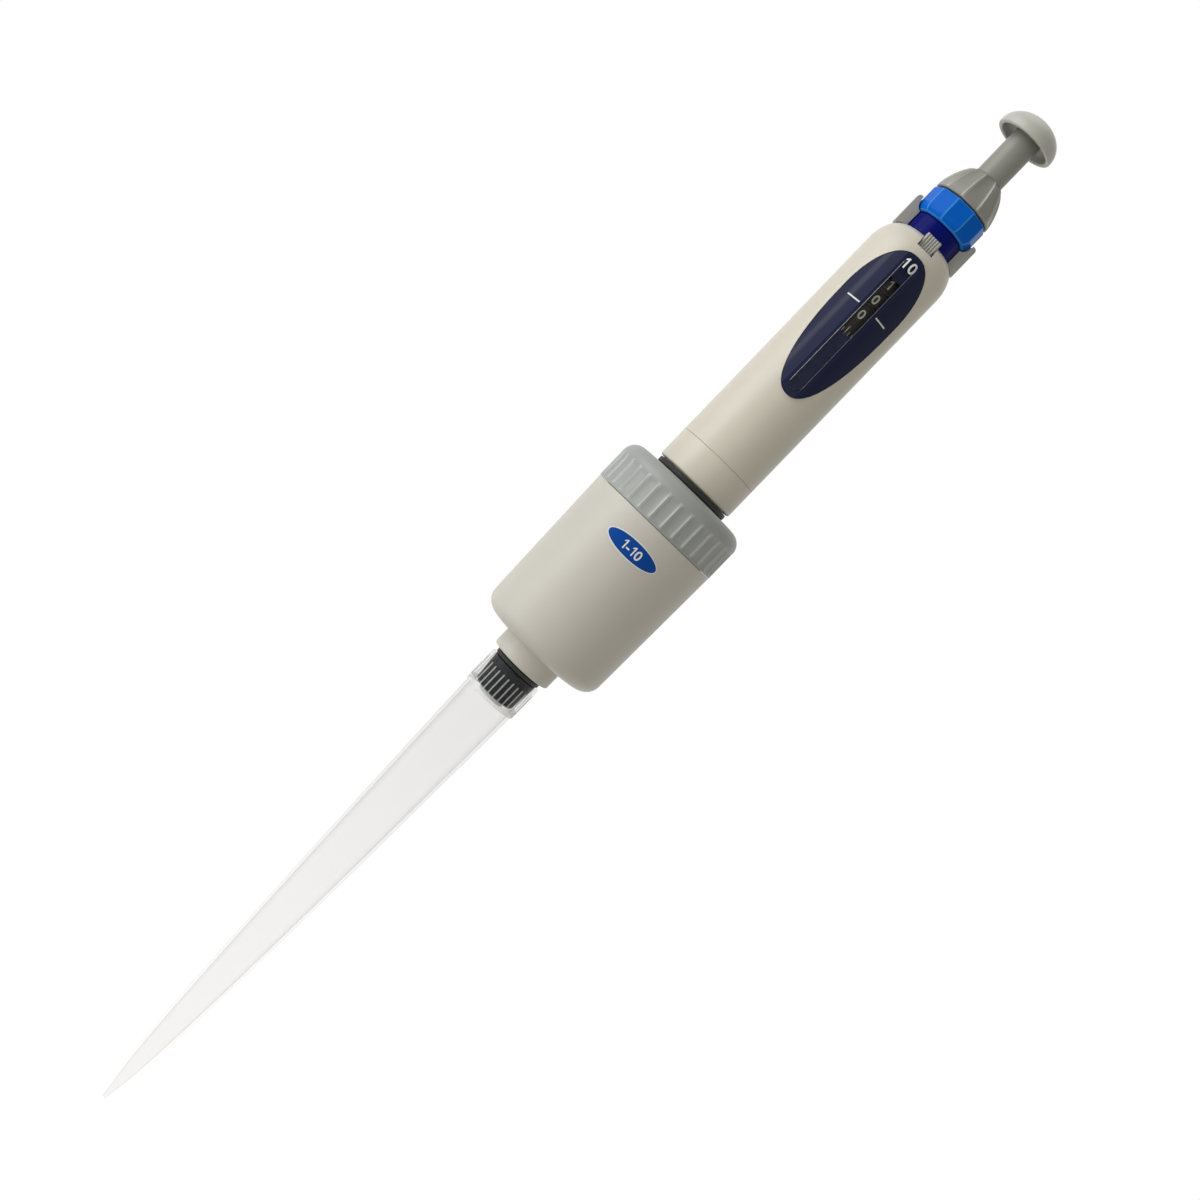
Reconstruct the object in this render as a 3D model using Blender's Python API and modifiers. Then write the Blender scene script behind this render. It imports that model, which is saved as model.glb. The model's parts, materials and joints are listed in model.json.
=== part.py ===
"""A 10 mL piston micropipette with its disposable tip, each piece a closed solid of its own.

It hangs upright by its finger hook. The origin is the middle of the hook's flat underside, the
pipette's axis is parallel to Z, the button points up and the counter's window faces -Y.
Lengths are in millimetres, and MM turns them into metres. Heights count up the axis from the
end of the tip.
"""

import math

import bmesh
import bpy
from mathutils import Vector

MM = 0.001
FULL_TURN = 2 * math.pi

# Clearances, and how far a cutter reaches past what it cuts
GAP = 0.3  # between pieces that rest on each other
FIT = 0.15  # round pieces that slide or turn in each other
THROUGH = 3.0

# Facets round a turned piece, along an arc and along a spring
FINE_STEPS = 36
MIDDLE_STEPS = 24
COARSE_STEPS = 16
DOME_STEPS = 6
HOLLOW_STEPS = 4
COIL_STEPS = 9
CHAMFER_UNDER = 0.6  # an arc up to this radius is a chamfer
SMALL_ARC_UNDER = 2.0
ROUND_SHARE = 0.48  # the most of a side that one rounded corner takes
EDGE_ROUND = 0.5
SEAM_ROUND = 0.2
WELD = 0.005

# What the pipette measures out
FULL_VOLUME = 10.0  # mL
BORE_RADIUS = 17.0
BLOWOUT_STROKE = 1.5
FULL_STROKE = FULL_VOLUME * 1000 / (math.pi * BORE_RADIUS**2)
TRAVEL = FULL_STROKE + BLOWOUT_STROKE
LEAST_VOLUME = 1.0
SETTING_TRAVEL = FULL_STROKE * (1 - LEAST_VOLUME / FULL_VOLUME)

# Disposable tip
TIP_LENGTH = 159.7
TIP_END_RADIUS = 0.9
TIP_BODY_RADIUS = 7.8
TIP_WALL = 0.85
TIP_WALL_SHARE = 0.45  # of the radius, where the tip is narrow
TIP_TAPER = 0.41
TIP_ROWS = 6
TIP_BORE_ROWS = 3
COLLAR_RADIUS = 8.15
COLLAR_LENGTH = 10.2
COLLAR_BAND = 2.0
COLLAR_RIBS = 26
COLLAR_RIB_DEPTH = 0.3

# Tip cone, with its filter, and the black ring above the tip
CONE_END_RADIUS = 6.2
CONE_TOP_RADIUS = 6.95
CONE_BORE = 2.5
CONE_CORNER = 1.2
FILTER_RADIUS = 4.0
FILTER_LENGTH = 5.0
ORING_HEIGHT = 1.45
ORING_RADIUS = 7.3
ORING_SEAT_RADIUS = 6.2
ORING_ROUND = 0.5

# Barrel
BOSS_RADIUS = 9.2
BOSS_LENGTH = 5.9
BOSS_BORE = 7.4
BOSS_FILLET = 0.6
BARREL_LOW_RADIUS = 18.8
BARREL_TOP_RADIUS = 19.75
BARREL_LENGTH = 44.6
BARREL_FLOOR = 2.8
BARREL_CORNER = 4.2

# Cap of the barrel
CAP_RADIUS = 19.85
CAP_HEIGHT = 13.0
CAP_CORNER = 4.0
CAP_PLATE = 3.5
CAP_SPIGOT = 6.0
CAP_SPIGOT_WALL = 1.4
CAP_FLUTES = 32
CAP_HEM = 1.0  # plain edge under the flutes
CAP_FLUTE_DEPTH = 0.5
CAP_FLUTE_HEIGHT = 8.0
NECK_RADIUS = 10.25
NECK_WALL = 1.65
NECK_HEIGHT = 8.0
COUPLING_RADIUS = 11.6
COUPLING_HEIGHT = 1.5

# Piston, its seal and its rod
PISTON_HEIGHT = 10.0
PISTON_PLAY = 0.4
DEAD_SPACE = 0.8
SEAL_SETBACK = 2.5
SEAL_HEIGHT = 3.0
SEAL_DEPTH = 1.8
SEAL_PLAY = 0.1
PISTON_RIM = 1.6
PISTON_HUB_WALL = 1.5
PISTON_HUB_DROP = 1.0
ROD_RADIUS = 3.0
ROD_SOCKET = 6.0
NUT_RADIUS = 5.0
NUT_HEIGHT = 3.0
GUIDE_RADIUS = 5.9
GUIDE_LENGTH = 6.0
GUIDE_FLANGE_RADIUS = 8.3
GUIDE_FLANGE_HEIGHT = 1.7

# Springs and stops
MAIN_SPRING_RADIUS = 5.0
MAIN_SPRING_WIRE = 0.8
MAIN_SPRING_TURNS = 5
BLOWOUT_SPRING_RADIUS = 7.3
BLOWOUT_SPRING_WIRE = 0.9
BLOWOUT_SPRING_LENGTH = 12.4
BLOWOUT_SPRING_TURNS = 3
END_PITCH = 1.15  # of an end turn, in wire thicknesses
SEAT_BORE = 6.2
SEAT_RADIUS = 8.9
SEAT_HEIGHT = 1.5
STOP_RADIUS = 7.6
STOP_HEIGHT = 3.0
CLIP_RADIUS = 4.6
CLIP_HEIGHT = 0.8

# Handle
HANDLE_RADIUS = 12.15
HANDLE_WALL = 1.7
HANDLE_BASE_HEIGHT = 8.8
SPIGOT_HEIGHT = 6.0
SPIGOT_BORE = 9.2
SHELL_HEIGHT = 77.6
SHOULDER_HEIGHT = 8.4
SHOULDER_CENTRE = 7.0
RIM_RADIUS = 7.9
SHELL_INSIDE_CORNER = 3.0

# Window: egg-shaped, with a roof that rises to a clear rib
WINDOW_HEIGHT = 47.7
WINDOW_WIDTH = 17.3
WINDOW_FROM_RIM = 6.3
WINDOW_WIDEST = 0.36  # share of the height from the top to the widest place
EGG_POWER = 2.3
ROOF_RISE = 0.6
ROOF_STEP = 0.1  # of its edge above the handle's skin
ROOF_MARGIN = 0.5
ROOF_STEPS = 8
LENS_WIDTH = 4.4
LENS_RISE = 0.55
LENS_DEPTH = 1.1
LENS_MARGIN = 1.6
LENS_END_SHARE = 0.95  # of its half width, the round of its ends
LENS_CROWN_RADIUS = 3.3
SLOT_WIDTH = 4.2
SLOT_TOP_DROP = 1.8

# Volume counter
DRUM_RADIUS = 8.05
DRUM_RIM_RADIUS = 7.6
DRUM_RIM = 0.8
DIGIT_BAND = 3.45
GRADUATION_BAND = 5.7
DRUM_TEETH = 12
TOOTH_DEPTH = 0.35
PINION_RADIUS = 0.85
PINION_TEETH = 8
PINION_HEIGHT = 1.5
PINION_TOOTH_DEPTH = 0.2
AXLE_RADIUS = 0.35
AXLE_FIT = 0.1
COUNTER_FROM_RIM = 12.7
FRAME_WALL = 0.7
FRAME_FLANGE = 1.5
FRAME_DOOR = 6.5
KEY_SLOT_DROP = 1.0

# Core, spindle and stroke nut
SPINDLE_RADIUS = 5.3
SPINDLE_BORE = 4.3
CORE_RADIUS = 7.1
CORE_NECK_RADIUS = 6.6
CORE_WALL = 0.7
CORE_RISE = 5.2
CORE_NECK_DROP = 0.4
CORE_FLANGE_RADIUS = 9.0
CORE_FLANGE_HEIGHT = 1.4
BEARING_LENGTH = 5.0
STROKE_NUT_HEIGHT = 5.0
STROKE_NUT_SKIRT = SETTING_TRAVEL + GAP
STROKE_NUT_WALL = 1.0
STROKE_NUT_PLAY = 0.5
KEY_WIDTH = 2.1
KEY_HEIGHT = 4.4

# Lock ring, knob, stem and button
RING_RADIUS = 8.95
RING_HEIGHT = 7.5
RING_FLATS = 10
RING_LOW_ROUND = 2.6
RING_LOW_INSET = 1.8
RING_FADE = 0.5  # of the flats' depth at the ring's foot
KNOB_BASE_RADIUS = 8.8
KNOB_TOP_RADIUS = 4.6
KNOB_HEIGHT = 10.0
KNOB_FLUTES = 10
KNOB_FLUTE_DEPTH = 0.95
KNOB_FLUTE_STEPS = 4
KNOB_FLUTE_START = 0.08  # of the depth's half wave, at the knob's top
KNOB_FLUTE_RUN = 0.8
KNOB_FLUTE_POWER = 0.7  # the lower, the narrower the ridges
KNOB_HEM = 0.8
KNOB_SOCKET = 5.0
STEM_RADIUS = 4.1
STEM_LENGTH = 38.0
STEM_SPIGOT_RADIUS = 2.5
BUTTON_RADIUS = 8.7
BUTTON_HEIGHT = 7.4
BUTTON_WALL = 1.3
BUTTON_LIP = 1.0
BUTTON_CLEARANCE = 0.7  # from the knob when the button is fully down
LATCH_WIDTH = 4.7
LATCH_RISE = 1.0
LATCH_DEPTH = 1.5
LATCH_LENGTH = 4.5
LATCH_RIBS = 5
LATCH_RIB_DEPTH = 0.35

# Finger hook
HOOK_WALL = 2.5
HOOK_TOP_FROM_RIM = 8.4
HOOK_THICKNESS = 4.0
HOOK_WIDTH = 15.0
HOOK_REACH = 37.65
HOOK_DROP = 8.2
HOOK_END = 3.4
HOOK_END_ROUND = 1.6
HOOK_BEND = 5.5
HOOK_FILLET = 3.0
HOOK_GUSSET = 3.6
HOOK_EDGE = 1.2
HOOK_COLLAR_DROP = 9.5
HOOK_COLLAR_ROUND = 0.9
HOOK_OPENING = math.radians(164)  # of the collar, in front

# Heights worked out from the sizes above
ORING_BOTTOM = TIP_LENGTH + FIT
NOZZLE_BOTTOM = ORING_BOTTOM + ORING_HEIGHT + FIT
BARREL_BOTTOM = NOZZLE_BOTTOM + BOSS_LENGTH
BARREL_INSIDE = BARREL_BOTTOM + BARREL_FLOOR
BARREL_TOP = BARREL_BOTTOM + BARREL_LENGTH
CAP_TOP = BARREL_TOP + GAP + CAP_HEIGHT
NECK_TOP = CAP_TOP + NECK_HEIGHT
PISTON_BOTTOM = BARREL_INSIDE + DEAD_SPACE + TRAVEL
BASE_BOTTOM = CAP_TOP + GAP + COUPLING_HEIGHT + GAP
SHELL_BOTTOM = BASE_BOTTOM + HANDLE_BASE_HEIGHT + GAP
SPIGOT_TOP = SHELL_BOTTOM + SPIGOT_HEIGHT
RIM_TOP = SHELL_BOTTOM + SHELL_HEIGHT
SHELL_INSIDE = HANDLE_RADIUS - HANDLE_WALL
SPRING_BOTTOM = CAP_TOP + GAP + GUIDE_FLANGE_HEIGHT + GAP
SEAT_BOTTOM = SPRING_BOTTOM + BLOWOUT_SPRING_LENGTH + GAP
STOP_BOTTOM = SEAT_BOTTOM + SEAT_HEIGHT + FULL_STROKE
STOP_TOP = STOP_BOTTOM + STOP_HEIGHT
SPINDLE_BOTTOM = STOP_TOP + FIT + CLIP_HEIGHT + GAP
NUT_SKIRT_BOTTOM = STOP_TOP + GAP
TENS_TOP = RIM_TOP - COUNTER_FROM_RIM
DRUM_HEIGHT = DIGIT_BAND + 2 * DRUM_RIM
UNITS_TOP = TENS_TOP - DRUM_HEIGHT - FIT
TENTHS_TOP = UNITS_TOP - DRUM_HEIGHT - FIT
TENTHS_BOTTOM = TENTHS_TOP - DRUM_RIM - DIGIT_BAND - GRADUATION_BAND
FRAME_BOTTOM = SPIGOT_TOP + GAP
FRAME_TOP = TENS_TOP + GAP + FRAME_FLANGE
FRAME_INSIDE = SHELL_INSIDE - FIT - FRAME_WALL
PINION_AXIS = DRUM_RIM_RADIUS + FIT + PINION_RADIUS
CORE_TOP = RIM_TOP + CORE_RISE
RING_BOTTOM = CORE_TOP + GAP
RING_TOP = RING_BOTTOM + RING_HEIGHT
KNOB_BOTTOM = RING_TOP + GAP
KNOB_TOP = KNOB_BOTTOM + KNOB_HEIGHT
BUTTON_BOTTOM = KNOB_TOP + BUTTON_CLEARANCE + TRAVEL
BUTTON_TOP = BUTTON_BOTTOM + BUTTON_HEIGHT
STEM_TOP = BUTTON_TOP - BUTTON_WALL - STEM_SPIGOT_RADIUS
HOOK_INSIDE = RING_RADIUS + GAP
HOOK_TOP = RIM_TOP + HOOK_TOP_FROM_RIM
HOOK_OUTSIDE = HOOK_INSIDE + HOOK_WALL
HANG_HEIGHT = HOOK_TOP - HOOK_THICKNESS
HANG_REACH = (HOOK_OUTSIDE + HOOK_REACH - HOOK_END) / 2

# Colour, roughness and metallic value of each finish
FINISHES = {
    "clear": ((0.93, 0.95, 0.96), 0.08, 0.0),
    "ivory": ((0.72, 0.69, 0.60), 0.38, 0.0),
    "light_grey": ((0.60, 0.59, 0.54), 0.42, 0.0),
    "mid_grey": ((0.36, 0.38, 0.38), 0.45, 0.0),
    "dark_grey": ((0.10, 0.11, 0.12), 0.40, 0.0),
    "stem_grey": ((0.24, 0.24, 0.21), 0.40, 0.0),
    "navy": ((0.01, 0.01, 0.16), 0.22, 0.0),
    "blue": ((0.01, 0.12, 0.55), 0.30, 0.0),
    "black_rubber": ((0.02, 0.02, 0.02), 0.70, 0.0),
    "white_plastic": ((0.80, 0.80, 0.78), 0.50, 0.0),
    "digit_drum": ((0.05, 0.05, 0.06), 0.50, 0.0),
    "steel": ((0.62, 0.63, 0.64), 0.28, 1.0),
    "spring_steel": ((0.45, 0.46, 0.47), 0.35, 1.0),
    "brass": ((0.70, 0.52, 0.22), 0.35, 1.0),
}


def clear_scene():
    for item in list(bpy.data.objects):
        bpy.data.objects.remove(item, do_unlink=True)


def new_collection(name):
    collection = bpy.data.collections.new(name)
    bpy.context.scene.collection.children.link(collection)
    return collection


clear_scene()
PIECES = new_collection("micropipette")
CUTTERS = new_collection("cutters")


def make_axis():
    """An empty at the end of the tip, on the pipette's axis: every piece hangs from it."""
    axis = bpy.data.objects.new("pipette_axis", None)
    axis.location = (0, -HANG_REACH * MM, -HANG_HEIGHT * MM)
    PIECES.objects.link(axis)
    return axis


AXIS = make_axis()


def finish(name):
    """The Principled material of this name, made once."""
    if name in bpy.data.materials:
        return bpy.data.materials[name]
    colour, roughness, metallic = FINISHES[name]
    material = bpy.data.materials.new(name)
    material.use_nodes = True
    shader = material.node_tree.nodes["Principled BSDF"]
    shader.inputs["Base Color"].default_value = (*colour, 1)
    shader.inputs["Roughness"].default_value = roughness
    shader.inputs["Metallic"].default_value = metallic
    return material


def add_piece(name, mesh, look=None, at=(0, 0, 0), turn=(0, 0, 0)):
    """A piece with a finish, or a cutter without one, placed from the end of the tip."""
    piece = bpy.data.objects.new(name, mesh)
    piece.location = Vector(at) * MM
    piece.rotation_euler = turn
    piece.parent = AXIS
    if look:
        mesh.materials.append(finish(look))
        PIECES.objects.link(piece)
    else:
        piece.hide_render = True
        piece.display_type = "WIRE"
        CUTTERS.objects.link(piece)
    return piece


def arc_steps(radius):
    """How many facets an arc gets: a small one is a chamfer."""
    return 1 if radius <= CHAMFER_UNDER else 2 if radius < SMALL_ARC_UNDER else 4


def round_corner(before, corner, after, radius):
    """The points of an arc that rounds one corner of an outline."""
    steps = arc_steps(radius)
    back = (before - corner).normalized()
    ahead = (after - corner).normalized()
    half = back.angle(ahead) / 2
    room = ROUND_SHARE * min((before - corner).length, (after - corner).length)
    reach = min(radius / math.tan(half), room)
    radius = reach * math.tan(half)
    centre = corner + (back + ahead).normalized() * radius / math.sin(half)
    start = (corner + back * reach - centre).normalized()
    end = (corner + ahead * reach - centre).normalized()
    side = (end - start * start.dot(end)).normalized()
    sweep = start.angle(end)
    angles = [sweep * i / steps for i in range(steps + 1)]
    return [centre + radius * (start * math.cos(a) + side * math.sin(a)) for a in angles]


def rounded(outline):
    """An outline whose points are (x, y), or (x, y, radius) where a corner is round."""
    flat = [Vector(point[:2]) for point in outline]
    points = []
    for i, point in enumerate(outline):
        if len(point) == 3:
            after = flat[(i + 1) % len(flat)]
            points += round_corner(flat[i - 1], flat[i], after, point[2])
        else:
            points.append(flat[i])
    return [(point.x, point.y) for point in points]


def turned(name, outline, look=None, steps=COARSE_STEPS, at=(0, 0, 0)):
    """A turned piece from a closed outline of (radius, height), down its outer side first."""
    points = [Vector((radius * MM, 0, height * MM)) for radius, height in rounded(outline)]
    solid = min(radius for radius, _ in rounded(outline)) <= 0
    count = len(points)
    ends = [(i, i + 1) for i in range(count - 1)]
    if not solid:
        ends.append((count - 1, 0))
    mesh = bpy.data.meshes.new(name)
    mesh.from_pydata(points, ends, [])
    piece = add_piece(name, mesh, look, at)
    screw = piece.modifiers.new("turn", "SCREW")
    screw.angle = FULL_TURN
    screw.steps = steps
    screw.render_steps = steps
    screw.use_merge_vertices = True
    screw.merge_threshold = WELD * MM
    return piece


def ring_outline(inside, outside, bottom, top):
    return [(outside, top), (outside, bottom), (inside, bottom), (inside, top)]


def rod_outline(radius, bottom, top):
    return [(0, top), (radius, top), (radius, bottom), (0, bottom)]


def fluted(name, outline, wave, steps, look, at=(0, 0, 0)):
    """A piece that is turned but for its flutes.

    Each point of its closed outline is (radius, height, depth), down the outer side first. The
    wave gives, for a share of a turn, how much of the depth is taken off the radius there.
    """
    body = bmesh.new()
    rows = []
    for radius, height, depth in outline:
        row = []
        for step in range(steps):
            reach = (radius - depth * wave(step / steps)) * MM
            angle = FULL_TURN * step / steps
            place = (reach * math.cos(angle), reach * math.sin(angle), height * MM)
            row.append(body.verts.new(place))
        rows.append(row)
    for upper, lower in zip(rows, rows[1:] + rows[:1]):
        for step in range(steps):
            following = (step + 1) % steps
            quad = (upper[step], lower[step], lower[following], upper[following])
            body.faces.new(quad)
    mesh = bpy.data.meshes.new(name)
    body.to_mesh(mesh)
    body.free()
    return add_piece(name, mesh, look, at)


def saw_wave(count):
    """Ridges: none of the depth at a ridge, all of it half-way to the next."""
    return lambda turn: 1 - abs(2 * (turn * count % 1) - 1)


def scoop_wave(count):
    """Hollow flutes between narrow ridges."""
    return lambda turn: math.sin(math.pi * (turn * count % 1)) ** KNOB_FLUTE_POWER


def flat_wave(count):
    """Flats: the share of the depth that turns a circle into a polygon's side."""
    half = math.pi / count

    def wave(turn):
        off_centre = abs(turn * count % 1 - 0.5) * 2 * half
        return (1 - math.cos(half) / math.cos(off_centre)) / (1 - math.cos(half))

    return wave


def plate(name, outlines, thickness, look=None, at=(0, 0, 0), turn=(0, 0, 0), edge=0.0):
    """A flat outline, with its holes, made as thick as asked, half to each side.

    Its edges are rounded by the radius edge, inside the outline.
    """
    curve = bpy.data.curves.new(name, "CURVE")
    curve.dimensions = "2D"
    curve.fill_mode = "BOTH"
    curve.extrude = (thickness / 2 - edge) * MM
    curve.bevel_depth = edge * MM
    curve.bevel_resolution = 1
    curve.offset = -edge * MM
    for outline in outlines:
        spline = curve.splines.new("POLY")
        spline.points.add(len(outline) - 1)
        for point, (x, y) in zip(spline.points, outline):
            point.co = (x * MM, y * MM, 0, 1)
        spline.use_cyclic_u = True
    guide = bpy.data.objects.new(name + "_outline", curve)
    CUTTERS.objects.link(guide)
    bpy.context.view_layer.update()
    graph = bpy.context.evaluated_depsgraph_get()
    mesh = bpy.data.meshes.new_from_object(guide.evaluated_get(graph))
    bpy.data.objects.remove(guide)
    body = bmesh.new()
    body.from_mesh(mesh)
    bmesh.ops.remove_doubles(body, verts=body.verts, dist=WELD * MM)
    bmesh.ops.recalc_face_normals(body, faces=body.faces)
    body.to_mesh(mesh)
    body.free()
    mesh.name = name
    return add_piece(name, mesh, look, at, turn)


def block(name, low, high, look=None):
    """A box between two corners."""
    body = bmesh.new()
    bmesh.ops.create_cube(body, size=1)
    size = [(b - a) * MM for a, b in zip(low, high)]
    bmesh.ops.scale(body, vec=size, verts=body.verts)
    mesh = bpy.data.meshes.new(name)
    body.to_mesh(mesh)
    body.free()
    middle = [(a + b) / 2 for a, b in zip(low, high)]
    return add_piece(name, mesh, look, middle)


def coil(name, radius, wire, bottom, top, turns, look):
    """A compression spring whose end turns lie nearly flat."""
    count = (turns + 2) * COIL_STEPS
    curve = bpy.data.curves.new(name, "CURVE")
    curve.dimensions = "3D"
    curve.bevel_depth = wire / 2 * MM
    curve.bevel_resolution = 1
    curve.use_fill_caps = True
    spline = curve.splines.new("POLY")
    spline.points.add(count)
    low, high = bottom + wire / 2, top - wire / 2
    closed = END_PITCH * wire
    for i, point in enumerate(spline.points):
        done = i / COIL_STEPS
        angle = FULL_TURN * done
        if done < 1:
            height = low + closed * done
        elif done > turns + 1:
            height = high - closed * (turns + 2 - done)
        else:
            height = low + closed + (high - low - 2 * closed) * (done - 1) / turns
        x, y = radius * math.cos(angle), radius * math.sin(angle)
        point.co = (x * MM, y * MM, height * MM, 1)
    piece = bpy.data.objects.new(name, curve)
    piece.parent = AXIS
    curve.materials.append(finish(look))
    PIECES.objects.link(piece)
    return piece


def combine(piece, other, operation):
    """Cuts a piece with another, joins them or keeps what they share."""
    step = piece.modifiers.new(other.name, "BOOLEAN")
    step.operation = operation
    step.object = other
    step.solver = "EXACT"


def cut(piece, cutter):
    combine(piece, cutter, "DIFFERENCE")


def tip_radius(height):
    """The tip's outer radius: a power curve, steep at its end and slim above."""
    body = TIP_LENGTH - COLLAR_LENGTH
    share = (TIP_END_RADIUS / TIP_BODY_RADIUS) ** (1 / TIP_TAPER)
    start = body * share / (1 - share)
    return TIP_BODY_RADIUS * ((height + start) / (body + start)) ** TIP_TAPER


def tip_bore(height):
    radius = tip_radius(height)
    return radius - min(TIP_WALL, TIP_WALL_SHARE * radius)


def make_tip():
    collar = TIP_LENGTH - COLLAR_LENGTH
    band = TIP_LENGTH - COLLAR_BAND
    ribs = COLLAR_RIB_DEPTH
    low = collar + COLLAR_BAND
    outline = [
        (COLLAR_RADIUS, TIP_LENGTH, 0),
        (COLLAR_RADIUS, band, 0),
        (COLLAR_RADIUS, band - ribs, ribs),
        (COLLAR_RADIUS, low + ribs, ribs),
        (COLLAR_RADIUS, low, 0),
        (COLLAR_RADIUS, collar, 0),
    ]
    for i in range(TIP_ROWS + 1):
        height = collar * (1 - i / TIP_ROWS) ** 2
        outline.append((tip_radius(height), height, 0))
    for i in range(TIP_BORE_ROWS + 1):
        height = collar * (i / TIP_BORE_ROWS) ** 2
        outline.append((tip_bore(height), height, 0))
    outline.append((COLLAR_RADIUS - TIP_WALL, TIP_LENGTH, 0))
    fluted("disposable_tip", outline, saw_wave(COLLAR_RIBS), 2 * COLLAR_RIBS, "clear")


def make_tip_cone():
    bottom = TIP_LENGTH - COLLAR_LENGTH
    filter_low = bottom + GAP
    recess_top = filter_low + FILTER_LENGTH + GAP
    spigot = BOSS_BORE - FIT
    outline = [
        (spigot, BARREL_INSIDE - GAP),
        (spigot, NOZZLE_BOTTOM + GAP),
        (ORING_SEAT_RADIUS - FIT, NOZZLE_BOTTOM + GAP),
        (ORING_SEAT_RADIUS - FIT, TIP_LENGTH),
        (CONE_TOP_RADIUS, TIP_LENGTH),
        (CONE_END_RADIUS, bottom, CONE_CORNER),
        (FILTER_RADIUS + FIT, bottom),
        (FILTER_RADIUS + FIT, recess_top),
        (CONE_BORE, recess_top),
        (CONE_BORE, BARREL_INSIDE - GAP),
    ]
    turned("tip_cone", outline, "dark_grey", MIDDLE_STEPS)
    plug = rod_outline(FILTER_RADIUS, filter_low, filter_low + FILTER_LENGTH)
    turned("nozzle_filter", plug, "white_plastic")


def make_nozzle_oring():
    low, high = ORING_BOTTOM, ORING_BOTTOM + ORING_HEIGHT
    outline = [
        (ORING_RADIUS, high, ORING_ROUND),
        (ORING_RADIUS, low, ORING_ROUND),
        (ORING_SEAT_RADIUS, low),
        (ORING_SEAT_RADIUS, high),
    ]
    turned("nozzle_oring", outline, "black_rubber", MIDDLE_STEPS)


def make_barrel():
    outline = [
        (BARREL_TOP_RADIUS, BARREL_TOP),
        (BARREL_LOW_RADIUS, BARREL_BOTTOM, BARREL_CORNER),
        (BOSS_RADIUS, BARREL_BOTTOM, BOSS_FILLET),
        (BOSS_RADIUS, NOZZLE_BOTTOM, EDGE_ROUND),
        (BOSS_BORE, NOZZLE_BOTTOM),
        (BOSS_BORE, BARREL_INSIDE),
        (BORE_RADIUS, BARREL_INSIDE),
        (BORE_RADIUS, BARREL_TOP),
    ]
    turned("barrel", outline, "light_grey", FINE_STEPS)


def make_barrel_cap():
    low, top = BARREL_TOP + GAP, CAP_TOP
    spigot = BORE_RADIUS - FIT
    plate_under = top - CAP_PLATE
    flutes_top = low + CAP_HEM + CAP_FLUTE_HEIGHT
    depth = CAP_FLUTE_DEPTH
    neck_foot = Vector((NECK_RADIUS, top))
    corner = Vector((CAP_RADIUS, top))
    shoulder = round_corner(neck_foot, corner, Vector((CAP_RADIUS, flutes_top)), CAP_CORNER)
    neck_inside = NECK_RADIUS - NECK_WALL
    bush_hole = GUIDE_RADIUS + FIT
    outline = [(NECK_RADIUS, NECK_TOP, 0), (NECK_RADIUS, top, 0)]
    outline += [(point.x, point.y, 0) for point in shoulder]
    outline += [
        (CAP_RADIUS, flutes_top, 0),
        (CAP_RADIUS, flutes_top - depth, depth),
        (CAP_RADIUS, low + CAP_HEM, depth),
        (CAP_RADIUS, low + CAP_HEM - depth, 0),
        (CAP_RADIUS, low, 0),
        (spigot, low, 0),
        (spigot, low - CAP_SPIGOT, 0),
        (spigot - CAP_SPIGOT_WALL, low - CAP_SPIGOT, 0),
        (spigot - CAP_SPIGOT_WALL, plate_under, 0),
        (bush_hole, plate_under, 0),
        (bush_hole, top, 0),
        (neck_inside, top, 0),
        (neck_inside, NECK_TOP, 0),
    ]
    fluted("barrel_cap", outline, saw_wave(CAP_FLUTES), 2 * CAP_FLUTES, "mid_grey")


def make_coupling_ring():
    low = CAP_TOP + GAP
    outline = ring_outline(NECK_RADIUS + FIT, COUPLING_RADIUS, low, low + COUPLING_HEIGHT)
    turned("coupling_ring", outline, "black_rubber", MIDDLE_STEPS)


def make_piston():
    low, top = PISTON_BOTTOM, PISTON_BOTTOM + PISTON_HEIGHT
    radius = BORE_RADIUS - PISTON_PLAY
    groove = radius - SEAL_DEPTH
    seal_low = low + SEAL_SETBACK
    seal_top = seal_low + SEAL_HEIGHT
    socket = ROD_RADIUS + FIT
    hub = NUT_RADIUS + PISTON_HUB_WALL
    hub_top = top - PISTON_HUB_DROP
    outline = [
        (0, top - ROD_SOCKET),
        (socket, top - ROD_SOCKET),
        (socket, hub_top),
        (hub, hub_top),
        (hub, seal_top),
        (groove - PISTON_RIM, seal_top),
        (groove - PISTON_RIM, top),
        (radius, top),
        (radius, seal_top + FIT),
        (groove, seal_top + FIT),
        (groove, seal_low - FIT),
        (radius, seal_low - FIT),
        (radius, low),
        (0, low),
    ]
    turned("piston", outline, "white_plastic", MIDDLE_STEPS)
    seal = ring_outline(groove + FIT, BORE_RADIUS - SEAL_PLAY, seal_low, seal_top)
    turned("piston_seal", seal, "black_rubber", MIDDLE_STEPS)
    hexagon = hexagon_outline(NUT_RADIUS)
    hole = circle_outline(ROD_RADIUS + FIT, COARSE_STEPS)
    middle = (0, 0, hub_top + GAP + NUT_HEIGHT / 2)
    plate("piston_nut", [hexagon, hole], NUT_HEIGHT, "steel", middle)


def circle_outline(radius, steps):
    angles = [FULL_TURN * i / steps for i in range(steps)]
    return [(radius * math.cos(a), radius * math.sin(a)) for a in angles]


def hexagon_outline(radius):
    return circle_outline(radius, 6)


def make_rod():
    low = PISTON_BOTTOM + PISTON_HEIGHT - ROD_SOCKET + GAP
    top = STEM_TOP - STEM_LENGTH / 2
    turned("piston_rod", rod_outline(ROD_RADIUS, low, top), "steel")


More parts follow.
